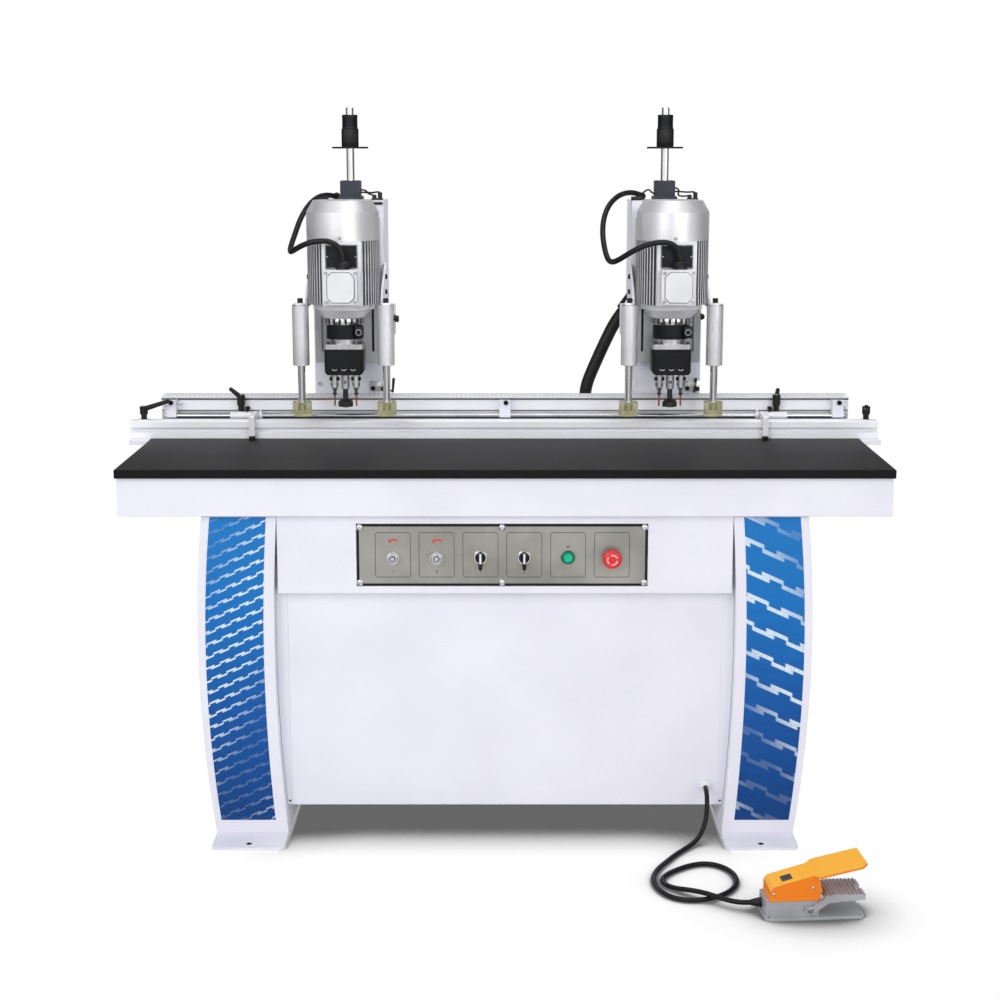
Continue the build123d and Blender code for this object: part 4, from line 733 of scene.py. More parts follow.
# Control points of the cords, in millimetres
CABLE_ROUTES = {
    "left": [
        (8, -40, 1204), (8, -40, 1217), (3, -41, 1232), (-7, -44, 1243),
        (-22, -47, 1249.5), (-42, -50, 1250), (-63, -49, 1246.5), (-83, -41, 1238),
        (-100, -24, 1228), (-110, 2, 1223), (-111, 32, 1236), (-105, 64, 1260),
        (-98, 97, 1288), (-88, 132, 1311), (-77, 166, 1327), (-66, 199, 1336),
        (-55, 229, 1339), (-46, 255, 1338), (-39.5, 276, 1336), (-36, 293, 1334.5),
        (-36, 309, 1334.5),
    ],
    "right": [
        (8, -40, 1204), (8, -40, 1215), (4, -41, 1229), (-5, -43.5, 1240),
        (-19, -47, 1246.5), (-38, -50, 1247.5), (-60, -51, 1243.5), (-84, -47, 1234),
        (-105, -38, 1221), (-122, -25, 1209), (-134, -8, 1202), (-142, 11, 1203.5),
        (-147, 29, 1215), (-151, 48, 1234), (-153.5, 73, 1261), (-150, 101, 1291),
        (-138, 133, 1318), (-119, 166, 1336), (-99, 198, 1344), (-80, 227, 1345),
        (-66, 251, 1342), (-55.5, 273, 1338), (-49, 292, 1334.5), (-49, 308, 1334.5),
    ],
}
HOSE_ROUTE = metres((x, 260, z) for x, z in (
    (188, 865), (188, 882), (191, 899), (197, 918), (205, 937), (214, 958),
    (224.5, 982), (236, 1007), (247.5, 1031), (260, 1053), (274.5, 1073),
))
FOOT_CORD_ROUTE = metres([
    (429, -268, 102), (429, -278, 102), (429, -291, 98.5), (429, -302, 90),
    (428.5, -309, 77.5), (427.5, -313.5, 62), (425, -318, 45), (419, -325, 29),
    (409.5, -335, 15.5), (395, -350, 7),
    *((x, y, 5.2) for x, y in (
        (376.5, -373), (354, -404), (335, -437), (315, -471), (301, -506), (297, -543),
        (303, -579), (319, -611), (341, -629), (367, -634), (394, -629), (420, -615),
        (444, -592), (461, -560), (466, -525), (458, -488), (438, -461), (411, -449),
        (380, -459), (350, -482), (327, -506), (315, -530), (317, -556),
    )),
    (336, -580, 7), (361, -601, 13), (386, -622, 17), (408.5, -641, 17.5),
    (427, -656.5, 17), (443, -667.5, 17.5), (459.4, -673.2, 18), (474.4, -672, 18),
])


def smooth_line(route):
    """Points along the smooth line that a route's points control."""
    curve = bpy.data.curves.new("route", "CURVE")
    curve.dimensions = "3D"
    spline = curve.splines.new("NURBS")
    spline.points.add(len(route) - 1)
    for control, point in zip(spline.points, route):
        control.co = (*point, 1)
    spline.order_u = 3
    spline.use_endpoint_u = True
    spline.resolution_u = 6
    return traced(curve)[0]


def make_cord(name, route, diameter, sides=16):
    """A cord's skin along its smooth line, and that line."""
    line = smooth_line(route)
    return Shape(name, "cord_rubber", 60, unit=1).tube(line, diameter / 2, sides).object(), line


def make_cords():
    """The motor cables, the hose to the right head and the pedal's cord."""
    for side, cx in HEADS.items():
        route = metres(CABLE_ROUTES[side], cx)
        cable, line = make_cord(f"{side}_motor_lead", route, CORD_LOOK["cable"])
        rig.replaces(cable, f"{side}_motor_cable")
        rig.slot(cable, "cord_rubber")
        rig.blend(cable, f"{side}_slide", f"{side}_carriage", start=(cx, -0.03, 1.2), end=(cx, 0.29, 1.2))
        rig.cord(
            cable, exit=route[0], length=CABLE_LENGTH[side], diameter=CORD_LOOK["cable"], far_end="object",
            stiffness="stiff", lay="hanging", path=line,
        )
    hose, line = make_cord("head_supply_hose", HOSE_ROUTE, CORD_LOOK["hose"], 24)
    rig.replaces(hose, "head_hose")
    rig.slot(hose, "cord_rubber")
    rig.blend(hose, "root", "right_carriage", start=(0.188, 0.26, 0.88), end=(0.262, 0.26, 1.06))
    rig.cord(
        hose, exit=HOSE_ROUTE[0], length=0.228, diameter=CORD_LOOK["hose"], far_end="object",
        stiffness="stiff", lay="taut", path=line,
    )
    lead, line = make_cord("foot_pedal_cord", FOOT_CORD_ROUTE, CORD_LOOK["foot"])
    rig.replaces(lead, "foot_cord")
    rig.slot(lead, "cord_rubber")
    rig.ride(lead, "root")
    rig.cord(
        lead, exit=FOOT_CORD_ROUTE[0], length=1.106, diameter=CORD_LOOK["foot"], far_end="object",
        stiffness="medium", lay="loose", path=line, with_pieces=["cord_glands"],
    )


make_cords()


# Finishes of the solids

BEAM_TOP = 856.2
LUG_BACK = 153.9
PAD_BACK = -17
WHOLE_FINISH = {
    "white_paint": ("cabinet", "control_fascia", "table_frame"),
    "table_laminate": ("table_top",),
    "chrome": ("pressure_knob_1", "pressure_knob_2"),
    "black_plastic": ("selector_1", "selector_2"),
    "green_plastic": ("start_button",),
    "red_plastic": ("estop_button",),
    "chrome_rod": ("stop_rod",),
    "aluminium": ("fence_bar",),
    "white_plastic": ("stop_arm_left", "stop_arm_right"),
    "hammered_grey": ("pedal_base", "pedal_treadle"),
    "guard_plastic": ("pedal_guard",),
}
HEAD_FINISH = {
    "feed_cylinder": "charcoal_block", "feed_rod": "chrome", "depth_stop": "black_oxide",
    "fan_cover": "motor_paint", "clamp_rods": "chrome", "clamp_pads": "urethane",
}


def paint(node, base, *rules):
    """Give a solid its finish, and other finishes to the faces that a rule picks by middle and direction."""
    data = nodes[node].data
    data.materials.clear()
    for name in (base, *(name for name, _ in rules)):
        data.materials.append(FINISH[name])
    for face in data.polygons:
        face.material_index = 0
        for number, (_, picks) in enumerate(rules, start=1):
            if picks(face.center / MM, face.normal):
                face.material_index = number


def above(height):
    """A rule that picks the faces above a height."""
    return lambda at, _: at.z > height


def below(height):
    """A rule that picks the faces below a height."""
    return lambda at, _: at.z < height


def in_foot_hole(at, facing):
    """Whether a face belongs to the wall of a foot-bolt hole."""
    off = hypot(abs(at.x) - FOOT_HOLE[0], abs(at.y) - FOOT_HOLE[1])
    return off < FOOT_HOLE_R and at.z < 6 and abs(facing.z) < 0.5


def in_hose_socket(at, _):
    """Whether a face belongs to the socket that the hose comes out of."""
    return at.z > BEAM_TOP and abs(at.x - HOSE_X) < 20 and 235 < at.y < 285


def paint_base():
    """The finishes of the table, cabinet, controls, fence, stops and pedal."""
    for finish, names in WHOLE_FINISH.items():
        for node in names:
            paint(node, finish)
    # Painted shade: the walls of the foot-bolt holes are dark.
    paint("legs", "white_paint", ("dark_steel", in_foot_hole))
    bezel = PANEL_FACE - 0.3
    paint(
        "control_plate", "stainless",
        ("chrome", lambda at, _: at.y < bezel),
        ("green_ring", lambda at, _: at.y < bezel and abs(at.x - CELL_X[4]) < 20),
    )
    paint(
        "rear_beam", "aluminium",
        ("steel", above(BEAM_TOP)),
        ("black_plastic", in_hose_socket),
        ("white_paint", lambda at, _: at.y < LUG_BACK),
        # Painted shade: the lugs' top faces under the rail's lip are black.
        ("black_oxide", lambda at, facing: at.y < LUG_BACK and facing.z > 0.9),
        ("slide_grey", lambda at, facing: LUG_BACK < at.y < 154.5 and facing.y < -0.9),
        # Painted shade: the faces in the small groove at the top of the beam's front are dark.
        ("dark_steel", lambda at, _: 154.1 < at.y < 156.1 and 853.8 < at.z < BEAM_TOP),
    )
    paint("ruler_rail", "aluminium", ("slide_grey", lambda at, _: at.y < 150.5))
    for side in STOPS:
        paint(f"fence_lever_{side}", "black_plastic", ("steel", below(842.5)))
        paint(f"stop_lever_{side}", "black_plastic", ("steel", below(858)))
        paint(f"stop_sleeve_{side}", "white_plastic", ("black_plastic", above(855.2)))
    paint("cord_glands", "black_plastic", ("white_plastic", lambda at, _: at.y > -400))


def paint_head(side, cx):
    """The finishes of one boring head."""
    inboard = -1 if cx > 0 else 1

    def on_guide(at, _):
        return at.y < 194.9 and abs(abs(at.x - cx) - 50) < 8.5 and at.z > 905

    def on_fitting(at, _):
        return at.z > 1327.2 or (at.x < cx - 81.2 and at.y > 245.5)

    def in_slot(at, _):
        beside = abs((at.x - cx) * inboard - 57)
        return beside < 2.7 and 146.2 < at.y < 158.2 and 990.5 < at.z < 1150.5

    def between_fins(at, facing):
        return abs(facing.z) < 0.5 and 1108.5 < at.z < 1246.5 and hypot(at.x - cx, at.y - DRILL_Y) < 78.6

    def on_lug(at, _):
        return abs(at.x - cx) > 50 and 1096.5 < at.z < 1110.5 and at.y > PAD_BACK

    for node, finish in HEAD_FINISH.items():
        paint(f"{side}_{node}", finish)
    paint(f"{side}_column", "white_paint", ("dark_steel", on_guide), ("black_plastic", on_fitting))
    # Painted shade: the walls of the slot in the slide plate are black.
    paint(f"{side}_slide_plate", "slide_grey", ("black_plastic", in_slot))
    paint(
        f"{side}_motor_housing", "fin_paint",
        # The faces between the fins take the painted shade.
        ("fin_gap_painted_shade", between_fins),
        ("motor_light", lambda at, _: at.y < PAD_BACK),
        ("white_plastic", on_lug),
        ("black_plastic", lambda at, _: at.z > 1189.5 and at.y < -20),
    )
    paint(
        f"{side}_drill_box", "black_oxide",
        ("steel", lambda at, _: 1009.1 < at.z < 1030.9), ("chrome", above(1063.1)),
    )
    paint(f"{side}_spindle_center", "steel", ("dark_steel", below(917.9)))
    for hand in HANDS:
        paint(f"{side}_spindle_{hand}", "steel", ("copper", below(907.9)), ("dark_steel", below(880.1)))
    paint(
        f"{side}_clamp_cylinders", "tube_satin",
        ("white_plastic", above(1106.1)), ("black_plastic", above(1111.2)),
    )


paint_base()
for side, cx in HEADS.items():
    paint_head(side, cx / MM)


# Details of the legs and cabinet

LEG_OUTER = ((629, 696), (644, 360), (616, 0))
LEG_INNER = ((474, 696), (484, 380), (463, 0))
FILM_INSET = (17, 21)
FILM_SHIFT = 3.5
FILM_Z = (33.5, 695.5)
FILM_THICK = 0.4
FILM_STEPS = 40
TRIM_FRONT = -250.8
TRIM_INNER = 458
TRIM_GAP = 0.8
TRIM_THICK = 1.6
TRIM_Z = (57.5, 690)
TRIM_STEPS = 24
CABINET_BACK = 250
COVER_THICK = 1.5
COVER_MARGIN = 10
VENT_Z = 420
VENT_ROWS = 7
VENT_STEP = 16


def arc_reach(points):
    """How far out the arc through three (x, z) points is at a height."""
    (ax, az), (bx, bz), (cx, cz) = points
    area = 2 * (ax * (bz - cz) + bx * (cz - az) + cx * (az - bz))
    first, second, third = (x * x + z * z for x, z in points)
    mid_x = (first * (bz - cz) + second * (cz - az) + third * (az - bz)) / area
    mid_z = (first * (cx - bx) + second * (ax - cx) + third * (bx - ax)) / area
    radius = hypot(ax - mid_x, az - mid_z)
    return lambda z: mid_x + sqrt(radius**2 - (z - mid_z) ** 2)


def dress_legs():
    """Printed film on the front of each leg, and flanges that close the gaps between cabinet and legs."""
    outer, inner = arc_reach(LEG_OUTER), arc_reach(LEG_INNER)
    rows = list(zip(even(*FILM_Z, FILM_STEPS), even(FILM_SHIFT, 0, FILM_STEPS)))
    film = [(outer(z) - FILM_INSET[0] + shift, z) for z, shift in rows]
    film += [(inner(z) + FILM_INSET[1] + shift, z) for z, shift in reversed(rows)]
    trim = [(inner(z) - TRIM_GAP, z) for z in even(*TRIM_Z, TRIM_STEPS)]
    trim += [(TRIM_INNER, z) for z in reversed(TRIM_Z)]
    for side, hand in HANDS.items():
        for name, finish, edge, front, thickness in (
            ("leg_film", f"leg_print_{side}", film, LEG_FRONT, FILM_THICK),
            ("cabinet_flange", "white_paint", trim, TRIM_FRONT + TRIM_THICK, TRIM_THICK),
        ):
            outline = [(hand * x, z) for x, z in edge]
            piece(f"{name}_{side}", "root", finish).plate(outline, (0, front, 0), thickness)


def dress_table():
    """Countersunk screws in the table board, and small screws at the lower corners of the cabinet's flanges."""
    board = [(x, -270, 799.4) for x in both(756.5)]
    piece("table_screws", "root", "dark_steel").screws(board, UP, 5.5, 0.9, "dome")
    flanges = [(x, TRIM_FRONT, 66) for x in both(462.5)]
    piece("cabinet_screws", "root", "dark_steel").screws(flanges, FRONT, 2.4, 1.2, "dome")


def cover(name, body, width, height, middle, shift=0.0):
    """A thin cover plate on a back face, with three screws along each of its sides."""
    plate = piece(f"{name}_cover", body, "white_paint", shift=shift)
    plate.plate(rounded_outline(width, height, 8), middle, COVER_THICK, 0.5, LEFT)
    across, along = both(width / 2 - COVER_MARGIN), even(*both(height / 2 - COVER_MARGIN), 2)
    places = [Vector(middle) + Vector((x, COVER_THICK, z)) for x in across for z in along]
    piece(f"{name}_cover_screws", body, "steel", shift=shift).screws(places, BACK, 4, 2.2, "dome")


def dress_backs():
    """Cover plates on the backs of the cabinet and the columns, and thin dark plates on the cabinet's, painted as the
    shade in its cooling slots.
    """
    cover("cabinet_back", "root", 640, 420, (0, CABINET_BACK, 360))
    # Painted shade: thin dark plates stand for the openings of the cooling slots.
    painted_slot_shades = piece("cabinet_back_slot_painted_shades", "root", "dark_steel")
    for x in both(170):
        for row in range(VENT_ROWS):
            middle = (x, CABINET_BACK + COVER_THICK, VENT_Z + VENT_STEP * row)
            painted_slot_shades.plate(rounded_outline(110, 6, 2.8), middle, 0.3, 0, LEFT)
    for side, cx in HEADS.items():
        cover(f"{side}_column", f"{side}_carriage", 126, 400, (0, 355, 1100), cx)


# Details of the control panel

CELL_SIZE = (74, 96)
CELL_Z = 615.5
CELL_CORNER = 6
CELL_LINE = 1.1
PLATE_MIDDLE = Vector((-6, PANEL_FACE, 615))
PLATE_SIZE = (594, 121)
GASKET = 6
GASKET_SLACK = 0.4
PRINT_THICK = 0.2
FIGURE_Z = 579.5
LAMP_MARK_Z = 632.5
KNOB_FACE = PANEL_FACE - 15.7
TURN_ARROWS = (20, 140, 260)


def glyphs(text, height):
    """The corners and faces of some figures, flat, about their middle."""
    curve = bpy.data.curves.new("figures", "FONT")
    curve.body = text
    curve.size = height * 1.4
    curve.align_x = "CENTER"
    curve.align_y = "CENTER"
    curve.resolution_u = 2
    return traced(curve)


def arc_band(radius, width, start, end, steps=16, tip=None):
    """The outline of a flat arc between two angles, in degrees, with an arrow tip of some size at its end."""

    def at(angle, reach):
        return (cos(angle) * reach, sin(angle) * reach)

    angles = [radians(turn) for turn in even(start, end, steps)]
    outside = [at(angle, radius + width / 2) for angle in angles]
    inside = [at(angle, radius - width / 2) for angle in reversed(angles)]
    head = []
    if tip is not None:
        last = angles[-1]
        head = [at(last, radius + tip * 0.7), at(last + tip / radius, radius), at(last, radius - tip * 0.7)]
    return outside + head + inside


def print_panel():
    """Outlines, figures and marks that are printed on the control panel."""
    lines, arrows = piece("panel_lines", "root", "print_black"), piece("panel_arrows", "root", "print_red")
    outer = rounded_outline(*CELL_SIZE, CELL_CORNER)
    inner = rounded_outline(*(size - 2 * CELL_LINE for size in CELL_SIZE), CELL_CORNER - CELL_LINE)
    curl = arc_band(11.5, 4.2, 40, 130, tip=6.2)
    figure = [glyphs(text, 7.5) for text in "12"]
    for number, x in enumerate(CELL_X):
        lines.ring(outer, inner, (x, PANEL_FACE, CELL_Z), PRINT_THICK)
        if number < 4:
            lines.write(figure[number % 2], (x, PANEL_FACE - PRINT_THICK, FIGURE_Z))
        if number < 2:
            arrows.plate(curl, (x + 1.5, PANEL_FACE, 636.5), PRINT_THICK)
    mark = Vector((CELL_X[4], PANEL_FACE, LAMP_MARK_Z))
    lines.plate(rounded_outline(4.6, 4.6, 1), mark, PRINT_THICK)
    arrows.plate(rounded_outline(2.8, 2.8, 1), mark + FRONT * PRINT_THICK, PRINT_THICK)


def dress_panel():
    """Gasket, screws and print of the control panel, and the marks on its switches."""
    width, height = (size + GASKET_SLACK for size in PLATE_SIZE)
    rim = 2 * (GASKET - GASKET_SLACK)
    outer, inner = rounded_outline(width + rim, height + rim, 1), rounded_outline(width, height, 2)
    piece("panel_gasket", "root", "black_plastic").ring(outer, inner, PLATE_MIDDLE + BACK * 1.9, 1)
    places = [PLATE_MIDDLE + Vector((x, 0, z)) for x in (-295.5, 0, 295.5) for z in both(58.5)]
    piece("panel_screws", "root", "chrome").screws(places, FRONT, 7.2, 4, "dome")
    print_panel()
    socket = hexagon(2.1)
    # Painted shade: a dark ring round each knob's button stands for the shaded recess.
    recess_shade = [(0, 6.8), (1.4, 6.4), (1.4, 5), (0, 4.8)]
    button = [(0, 4.6), (2.2, 4.3), (3, 3.4), (3, socket), (0.8, socket)]
    for number in (1, 2):
        knob, place = f"pressure_knob_{number}", (CELL_X[number - 1], KNOB_FACE, DEVICE_Z)
        piece(f"knob_recess_painted_shade_{number}", knob, "dark_steel").turned(place, FRONT, recess_shade)
        piece(f"knob_button_{number}", knob, "chrome").turned(place, FRONT, button, 24)
        place = (CELL_X[number + 1], PANEL_FACE - 18, DEVICE_Z + 0.5)
        mark = piece(f"selector_mark_{number}", f"selector_{number}", "white_plastic")
        mark.plate(rounded_outline(4.2, 21.5, 1.2), place, 0.5, 0.2)
    arrows = piece("estop_arrows", "estop_button", "pale_red")
    for turn in TURN_ARROWS:
        arrow = arc_band(10.2, 3, turn, turn + 76, tip=3.6)
        arrows.plate(arrow, (CELL_X[5], PANEL_FACE - 26, DEVICE_Z), 0.3)
    lip = [(0, 10), (0.6, 10.3), (1.2, 10), (1.2, 9.1), (0, 8.9)]
    place = (CELL_X[4], PANEL_FACE - 6.6, DEVICE_Z)
    piece("start_rim", "start_button", "green_ring").turned(place, FRONT, lip, 48)


# Details of the rail, rod and stops

RAIL_HALF = 785
SLOPE = Vector((0, 36, 5)).normalized()
SLOPE_FOOT = Vector((0, 150, 885))
SCALE_EDGES = (1.5, 34.5)
SCALE_THICK = 0.5
SCALE_END = 1560
SCALE_ZERO = 5 - RAIL_HALF
DIGIT_STEP = 3.1
DIGIT_WIDTH = 0.62
LUG_X = (-762, 0, 758)
LUG_FRONT = 130
LUG_HALF = 13.2
ROD_Y = 140
SIDE_SCREW_Y = 141


def dress_scale():
    """The scale on the rail's slope, with a mark for each millimetre and a figure for each centimetre."""
    low, high = SCALE_EDGES
    half = RAIL_HALF - 2
    outline = [(half, low), (half, high), (-half, high), (-half, low)]
    piece("rail_scale", "root", "scale_plate").plate(outline, SLOPE_FOOT, SCALE_THICK, along=SLOPE)
    marks = piece("rail_marks", "root", "print_black")
    top = SLOPE_FOOT + RIGHT.cross(SLOPE) * (SCALE_THICK + 0.05)
    figure = {text: glyphs(text, 6.2) for text in "0123456789"}
    for step in range(1, SCALE_END):
        x, whole = step + SCALE_ZERO, step % 10 == 0
        foot = high - (15 if whole else 11.5 if step % 5 == 0 else 8.5)
        thick = 0.16 if whole else 0.1
        corners = ((x - thick, foot), (x + thick, foot), (x + thick, high), (x - thick, high))
        marks.flat([top + RIGHT * u + SLOPE * v for u, v in corners])
        if whole:
            text = str(step // 10)
            for place, digit in enumerate(text):
                shift = (place - (len(text) - 1) / 2) * DIGIT_STEP
                origin = top + RIGHT * (x + shift) + SLOPE * 10.5
                marks.write(figure[digit], origin, RIGHT * DIGIT_WIDTH, SLOPE)


def dress_rail():
    """The scale, a black strip of painted shadow under the rail's lip, the screws of the rod's lugs, and thin dark
    discs painted as the shade of the left lug's small holes.
    """
    dress_scale()
    # Painted shadow: a thin black strip under the rail's lip, broken at the lugs.
    joint = piece("rail_lip_painted_shadow", "root", "black_plastic")
    ends = [-RAIL_HALF, *(x + step for x in LUG_X for step in both(LUG_HALF)), RAIL_HALF]
    for start, end in zip(ends[::2], ends[1::2]):
        joint.slab((start, 151, 880), (end, 154, 882.9), 0.4)
    screws = piece("lug_screws_and_hole_shades", "root", "black_oxide")
    screws.screws([(x + 2.2, LUG_FRONT, 876) for x in LUG_X], FRONT, 5.4, 4.5)
    # Painted shade: four thin dark discs on the left lug stand for its small holes.
    for step in range(4):
        screws.turned((LUG_X[0] - 10.5, LUG_FRONT, 844.5 + 7.8 * step), FRONT, [(0, 1.3), (0.3, 1.2)], 12)
    sides = piece("lug_side_screws", "root", "steel")
    sides.screw((LUG_X[2] + 13, SIDE_SCREW_Y, 862), RIGHT, 4.5, 4.5)
    sides.turned((LUG_X[0] + 13, SIDE_SCREW_Y, 872.5), RIGHT, [(0, 2.2), (13, 2.2), (14, 1.6)], 16)


def dress_stops():
    """Inner collars with their screws, screws and rubber tips of the flip arms, and ribs on the small knobs."""
    collar = [(0, 8), (0.4, 8.5), (8.5, 8.5), (9, 8), (9, 5.7), (0, 5.7)]
    ribs = ribbed(5.4, 0.4, 18)
    grip = [(0.4, 4.8), (1, ribs), (6.2, ribs), (7.2, 4.6)]
    for side, (arm_x, outward) in STOPS.items():
        stop, arm, inward = f"stop_{side}", f"stop_arm_{side}", RIGHT * -outward
        start = Vector((arm_x - outward * 6.7, ROD_Y, 845))
        piece(f"stop_collar_{side}", stop, "white_plastic").turned(start, inward, collar)
        place = start + inward * 4.5 + UP * 8.3
        piece(f"stop_collar_screw_{side}", stop, "chrome").screw(place, UP, 2.8, 5.8)
        place = (arm_x - outward * 6, 75.7, 826)
        piece(f"stop_arm_screw_{side}", arm, "steel").screw(place, inward, 3.2, 4.2)
        tip = piece(f"stop_arm_tip_{side}", arm, "cord_rubber")
        tip.slab((arm_x - 6.8, 71.2, 800.8), (arm_x + 6.8, 79.8, 808.5), 0.8)
        knob = (arm_x + outward * 18, ROD_Y, 859)
        piece(f"stop_knob_grip_{side}", stop, "black_plastic").turned(knob, UP, grip, 72)
        for lever, place in (
            (f"fence_lever_{side}", (outward * 817, 106, 871)),
            (f"stop_lever_{side}", (arm_x + outward * 32.6, ROD_Y, 893)),
        ):
            piece(f"{lever}_screw", lever, "steel").screw(place, UP, 4.8, 1.6)


# Details of the boring heads, about a head's middle

DRILL_AXIS = Vector((0, DRILL_Y, 0))
PAD_FRONT = -17.5
NAMEPLATE_THICK = 0.8
TERMINAL_FRONT = -60
LID_GASKET = 1
BOX_FRONT = 27
RING_SLOTS = 20
CUTTER = [(4, 0), (15, 0.5), (17.2, 6), (16.5, 12), (10.5, 17.5), (5, 18)]
CUTTER_THICK = 2.4
COLUMN_TOP = 1327
BLOCK_TOP = COLUMN_TOP + 8.5
PLATE_FACE = 192.5
AIR_TUBE_R = 2
AIR_FITTINGS = ((56, 11), (69, 16.5), (-62, 9))
AIR_FITTING_Y = 262
# Control points of the air tubes about a head's middle, in millimetres
AIR_TUBES = {
    "left": (
        ((22, 285, 1349.5), (34, 284, 1350), (41, 278, 1340.5), (50, 268, 1339),
         (56, 262, 1337)),
        ((22, 292, 1344), (36, 292, 1343), (52, 284, 1343), (66, 268, 1346),
         (69, 262, 1343)),
    ),
    "right": (
        ((-62, 262, 1336.5), (-50, 262, 1344), (-41, 266, 1351), (-33, 272, 1348),
         (-29, 278, 1342), (-22, 282, 1341)),
        ((22, 285, 1354.5), (31, 284, 1353), (33.5, 280, 1346), (29, 274, 1338),
         (40, 266, 1334.5), (56, 262, 1337)),
        ((22, 293, 1346), (40, 292, 1345), (56, 282, 1344), (66, 268, 1346),
         (69, 262, 1343)),
    ),
}


def octagon(width, height, cut):
    """A rectangle with cut corners, about its middle."""
    x, z = width / 2, height / 2
    top = [(x, z - cut), (x - cut, z), (cut - x, z), (-x, z - cut)]
    return top + [(u, -v) for u, v in reversed(top)]


def dress_motor(add):
    """Nameplate, terminal-box lid, gland nut and screws of a motor."""
    place = Vector((3, PAD_FRONT, 1214.5))
    add("nameplate", "slide", "black_oxide").plate(rounded_outline(70, 51, 1.5), place, NAMEPLATE_THICK, 0.3)
    place += FRONT * NAMEPLATE_THICK
    rivets = add("nameplate_rivets", "slide", "steel")
    rivets.ring(rounded_outline(67.5, 48.5, 1), rounded_outline(66, 47, 1), place, PRINT_THICK)
    rivets.screws([place + RIGHT * x for x in both(30.5)], FRONT, 1.8, 1, "dome")
    place = Vector((4, TERMINAL_FRONT, 1151))
    add("lid_gasket", "slide", "dark_steel").plate(octagon(60, 66.5, 11), place, LID_GASKET)
    lid = add("terminal_lid", "slide", "motor_light", 25)
    lid.plate(octagon(58, 64.5, 10.5), place + FRONT * LID_GASKET, 4.2, 1.2)
    corners = [place + Vector((x, 0, z)) for x in both(30.7) for z in both(31.2)]
    add("terminal_screws", "slide", "steel").screws(corners, FRONT, 3.8, 3)
    nut, ribs = hexagon(16.2), ribbed(14.3, 0.5, 16)
    cap = [(0, 13.9), (0.5, ribs), (9, ribs), (11.5, 11.2), (11.8, 6.6)]
    gland = add("gland_nut", "slide", "black_plastic")
    gland.turned((8, -40, 1189), UP, [(0, nut), (4.6, nut), (5.2, 14)], 48)
    gland.turned((8, -40, 1194.5), UP, cap, 64)
    screws = add("cover_screws", "slide", "steel")
    for out in (heading(-90), heading(30), heading(150)):
        screws.screw(DRILL_AXIS + UP * 1254.5 + out * 79.3, out, 4.2, 2.4, "dome")
    places = [(x, DRILL_Y - 10, 1103) for x in both(59)]
    add("flange_bolts", "slide", "steel").screws(places, FRONT, 3.8, 3, "bolt")


def dress_drill(add):
    """Chrome ring with dark plates painted as the shade of its notches, collar screw, plate screws, and white arcs
    painted as highlights on the front of a drill box.
    """
    ring = [(0, 42.6), (0.6, 43), (14, 43), (14.6, 42.6)]
    add("notched_ring", "slide", "chrome").turned(DRILL_AXIS + UP * 1063.2, UP, ring, 96)
    # Painted shade: thin dark plates on the ring stand for its shaded notches.
    painted_slot_shades = add("ring_slots", "slide", "dark_steel")
    for step in range(RING_SLOTS):
        out = heading(360 * (step + 0.5) / RING_SLOTS)
        place = DRILL_AXIS + UP * 1070.5 + out * 42.9
        painted_slot_shades.plate(rounded_outline(6, 11.8, 1.4), place, 0.3, 0, UP.cross(out))
    add("collar_boss", "slide", "black_oxide").slab((24.5, 22, 1034), (44.5, 48, 1060), 4)
    rim = [(0, 7), (1, 7), (1.3, 6.8), (1.3, 6.1), (0.2, 5.7)]
    add("collar_rim", "slide", "steel").turned((34.5, 22, 1047), FRONT, rim)
    add("collar_screw", "slide", "black_oxide").screw((34.5, 21.8, 1047), FRONT, 5.2, 1.4)
    places = [(x, 34.5, 1020) for x in (-33, 35)]
    add("plate_screws", "slide", "dark_steel").screws(places, UP, 4, 5.5)
    # Painted highlights: three white arcs stand for glints on round rims where the spindles come out.
    marks = add("box_marks", "slide", "white_plastic")
    for x in (-20.5, 0, 20.5):
        marks.plate(arc_band(6.2, 1.1, 215, 325), (x, BOX_FRONT, 968.5), PRINT_THICK)


def dress_spindles(add):
    """Chuck knobs, set screws and bit collars of the outer spindles, and the cutters of the centre one."""
    knob = [(0, 4.6), (3.2, 4.6), (4, 3.9)]
    collar = [(0, 2.6), (1.2, 4.2), (5, 4.6), (6.2, 4)]
    for hand, sign in HANDS.items():
        spindle, axis = f"spindle_{hand}", DRILL_AXIS + RIGHT * (sign * SPINDLE_STEP)
        screws = add(f"{hand}_set_screws", spindle, "black_oxide")
        for out in (heading(-160), heading(-20)):
            screws.turned(axis + UP * 940 + out * 6.8, out, knob, 20)
            screws.screw(axis + UP * 927.5 + out * 7.2, out, 3, 1.2)
        add(f"{hand}_bit_collar", spindle, "dark_steel").turned(axis + UP * 903, UP, collar, 24)
    screws = add("center_set_screws", "spindle_center", "black_oxide")
    for out in (FRONT, BACK):
        screws.screw(DRILL_AXIS + UP * 933 + out * 8.5, out, 3.4, 1)
    cutters = add("cup_cutters", "spindle_center", "dark_steel")
    for turn in (20, 110, 200, 290):
        out = heading(turn)
        cutters.plate(CUTTER, DRILL_AXIS + UP * 876.8 + UP.cross(out) * 1.1, CUTTER_THICK, 0, out)
    cutters.turned(DRILL_AXIS + UP * 874, UP, [(0, 0.4), (3, 2), (5, 2)], 12)


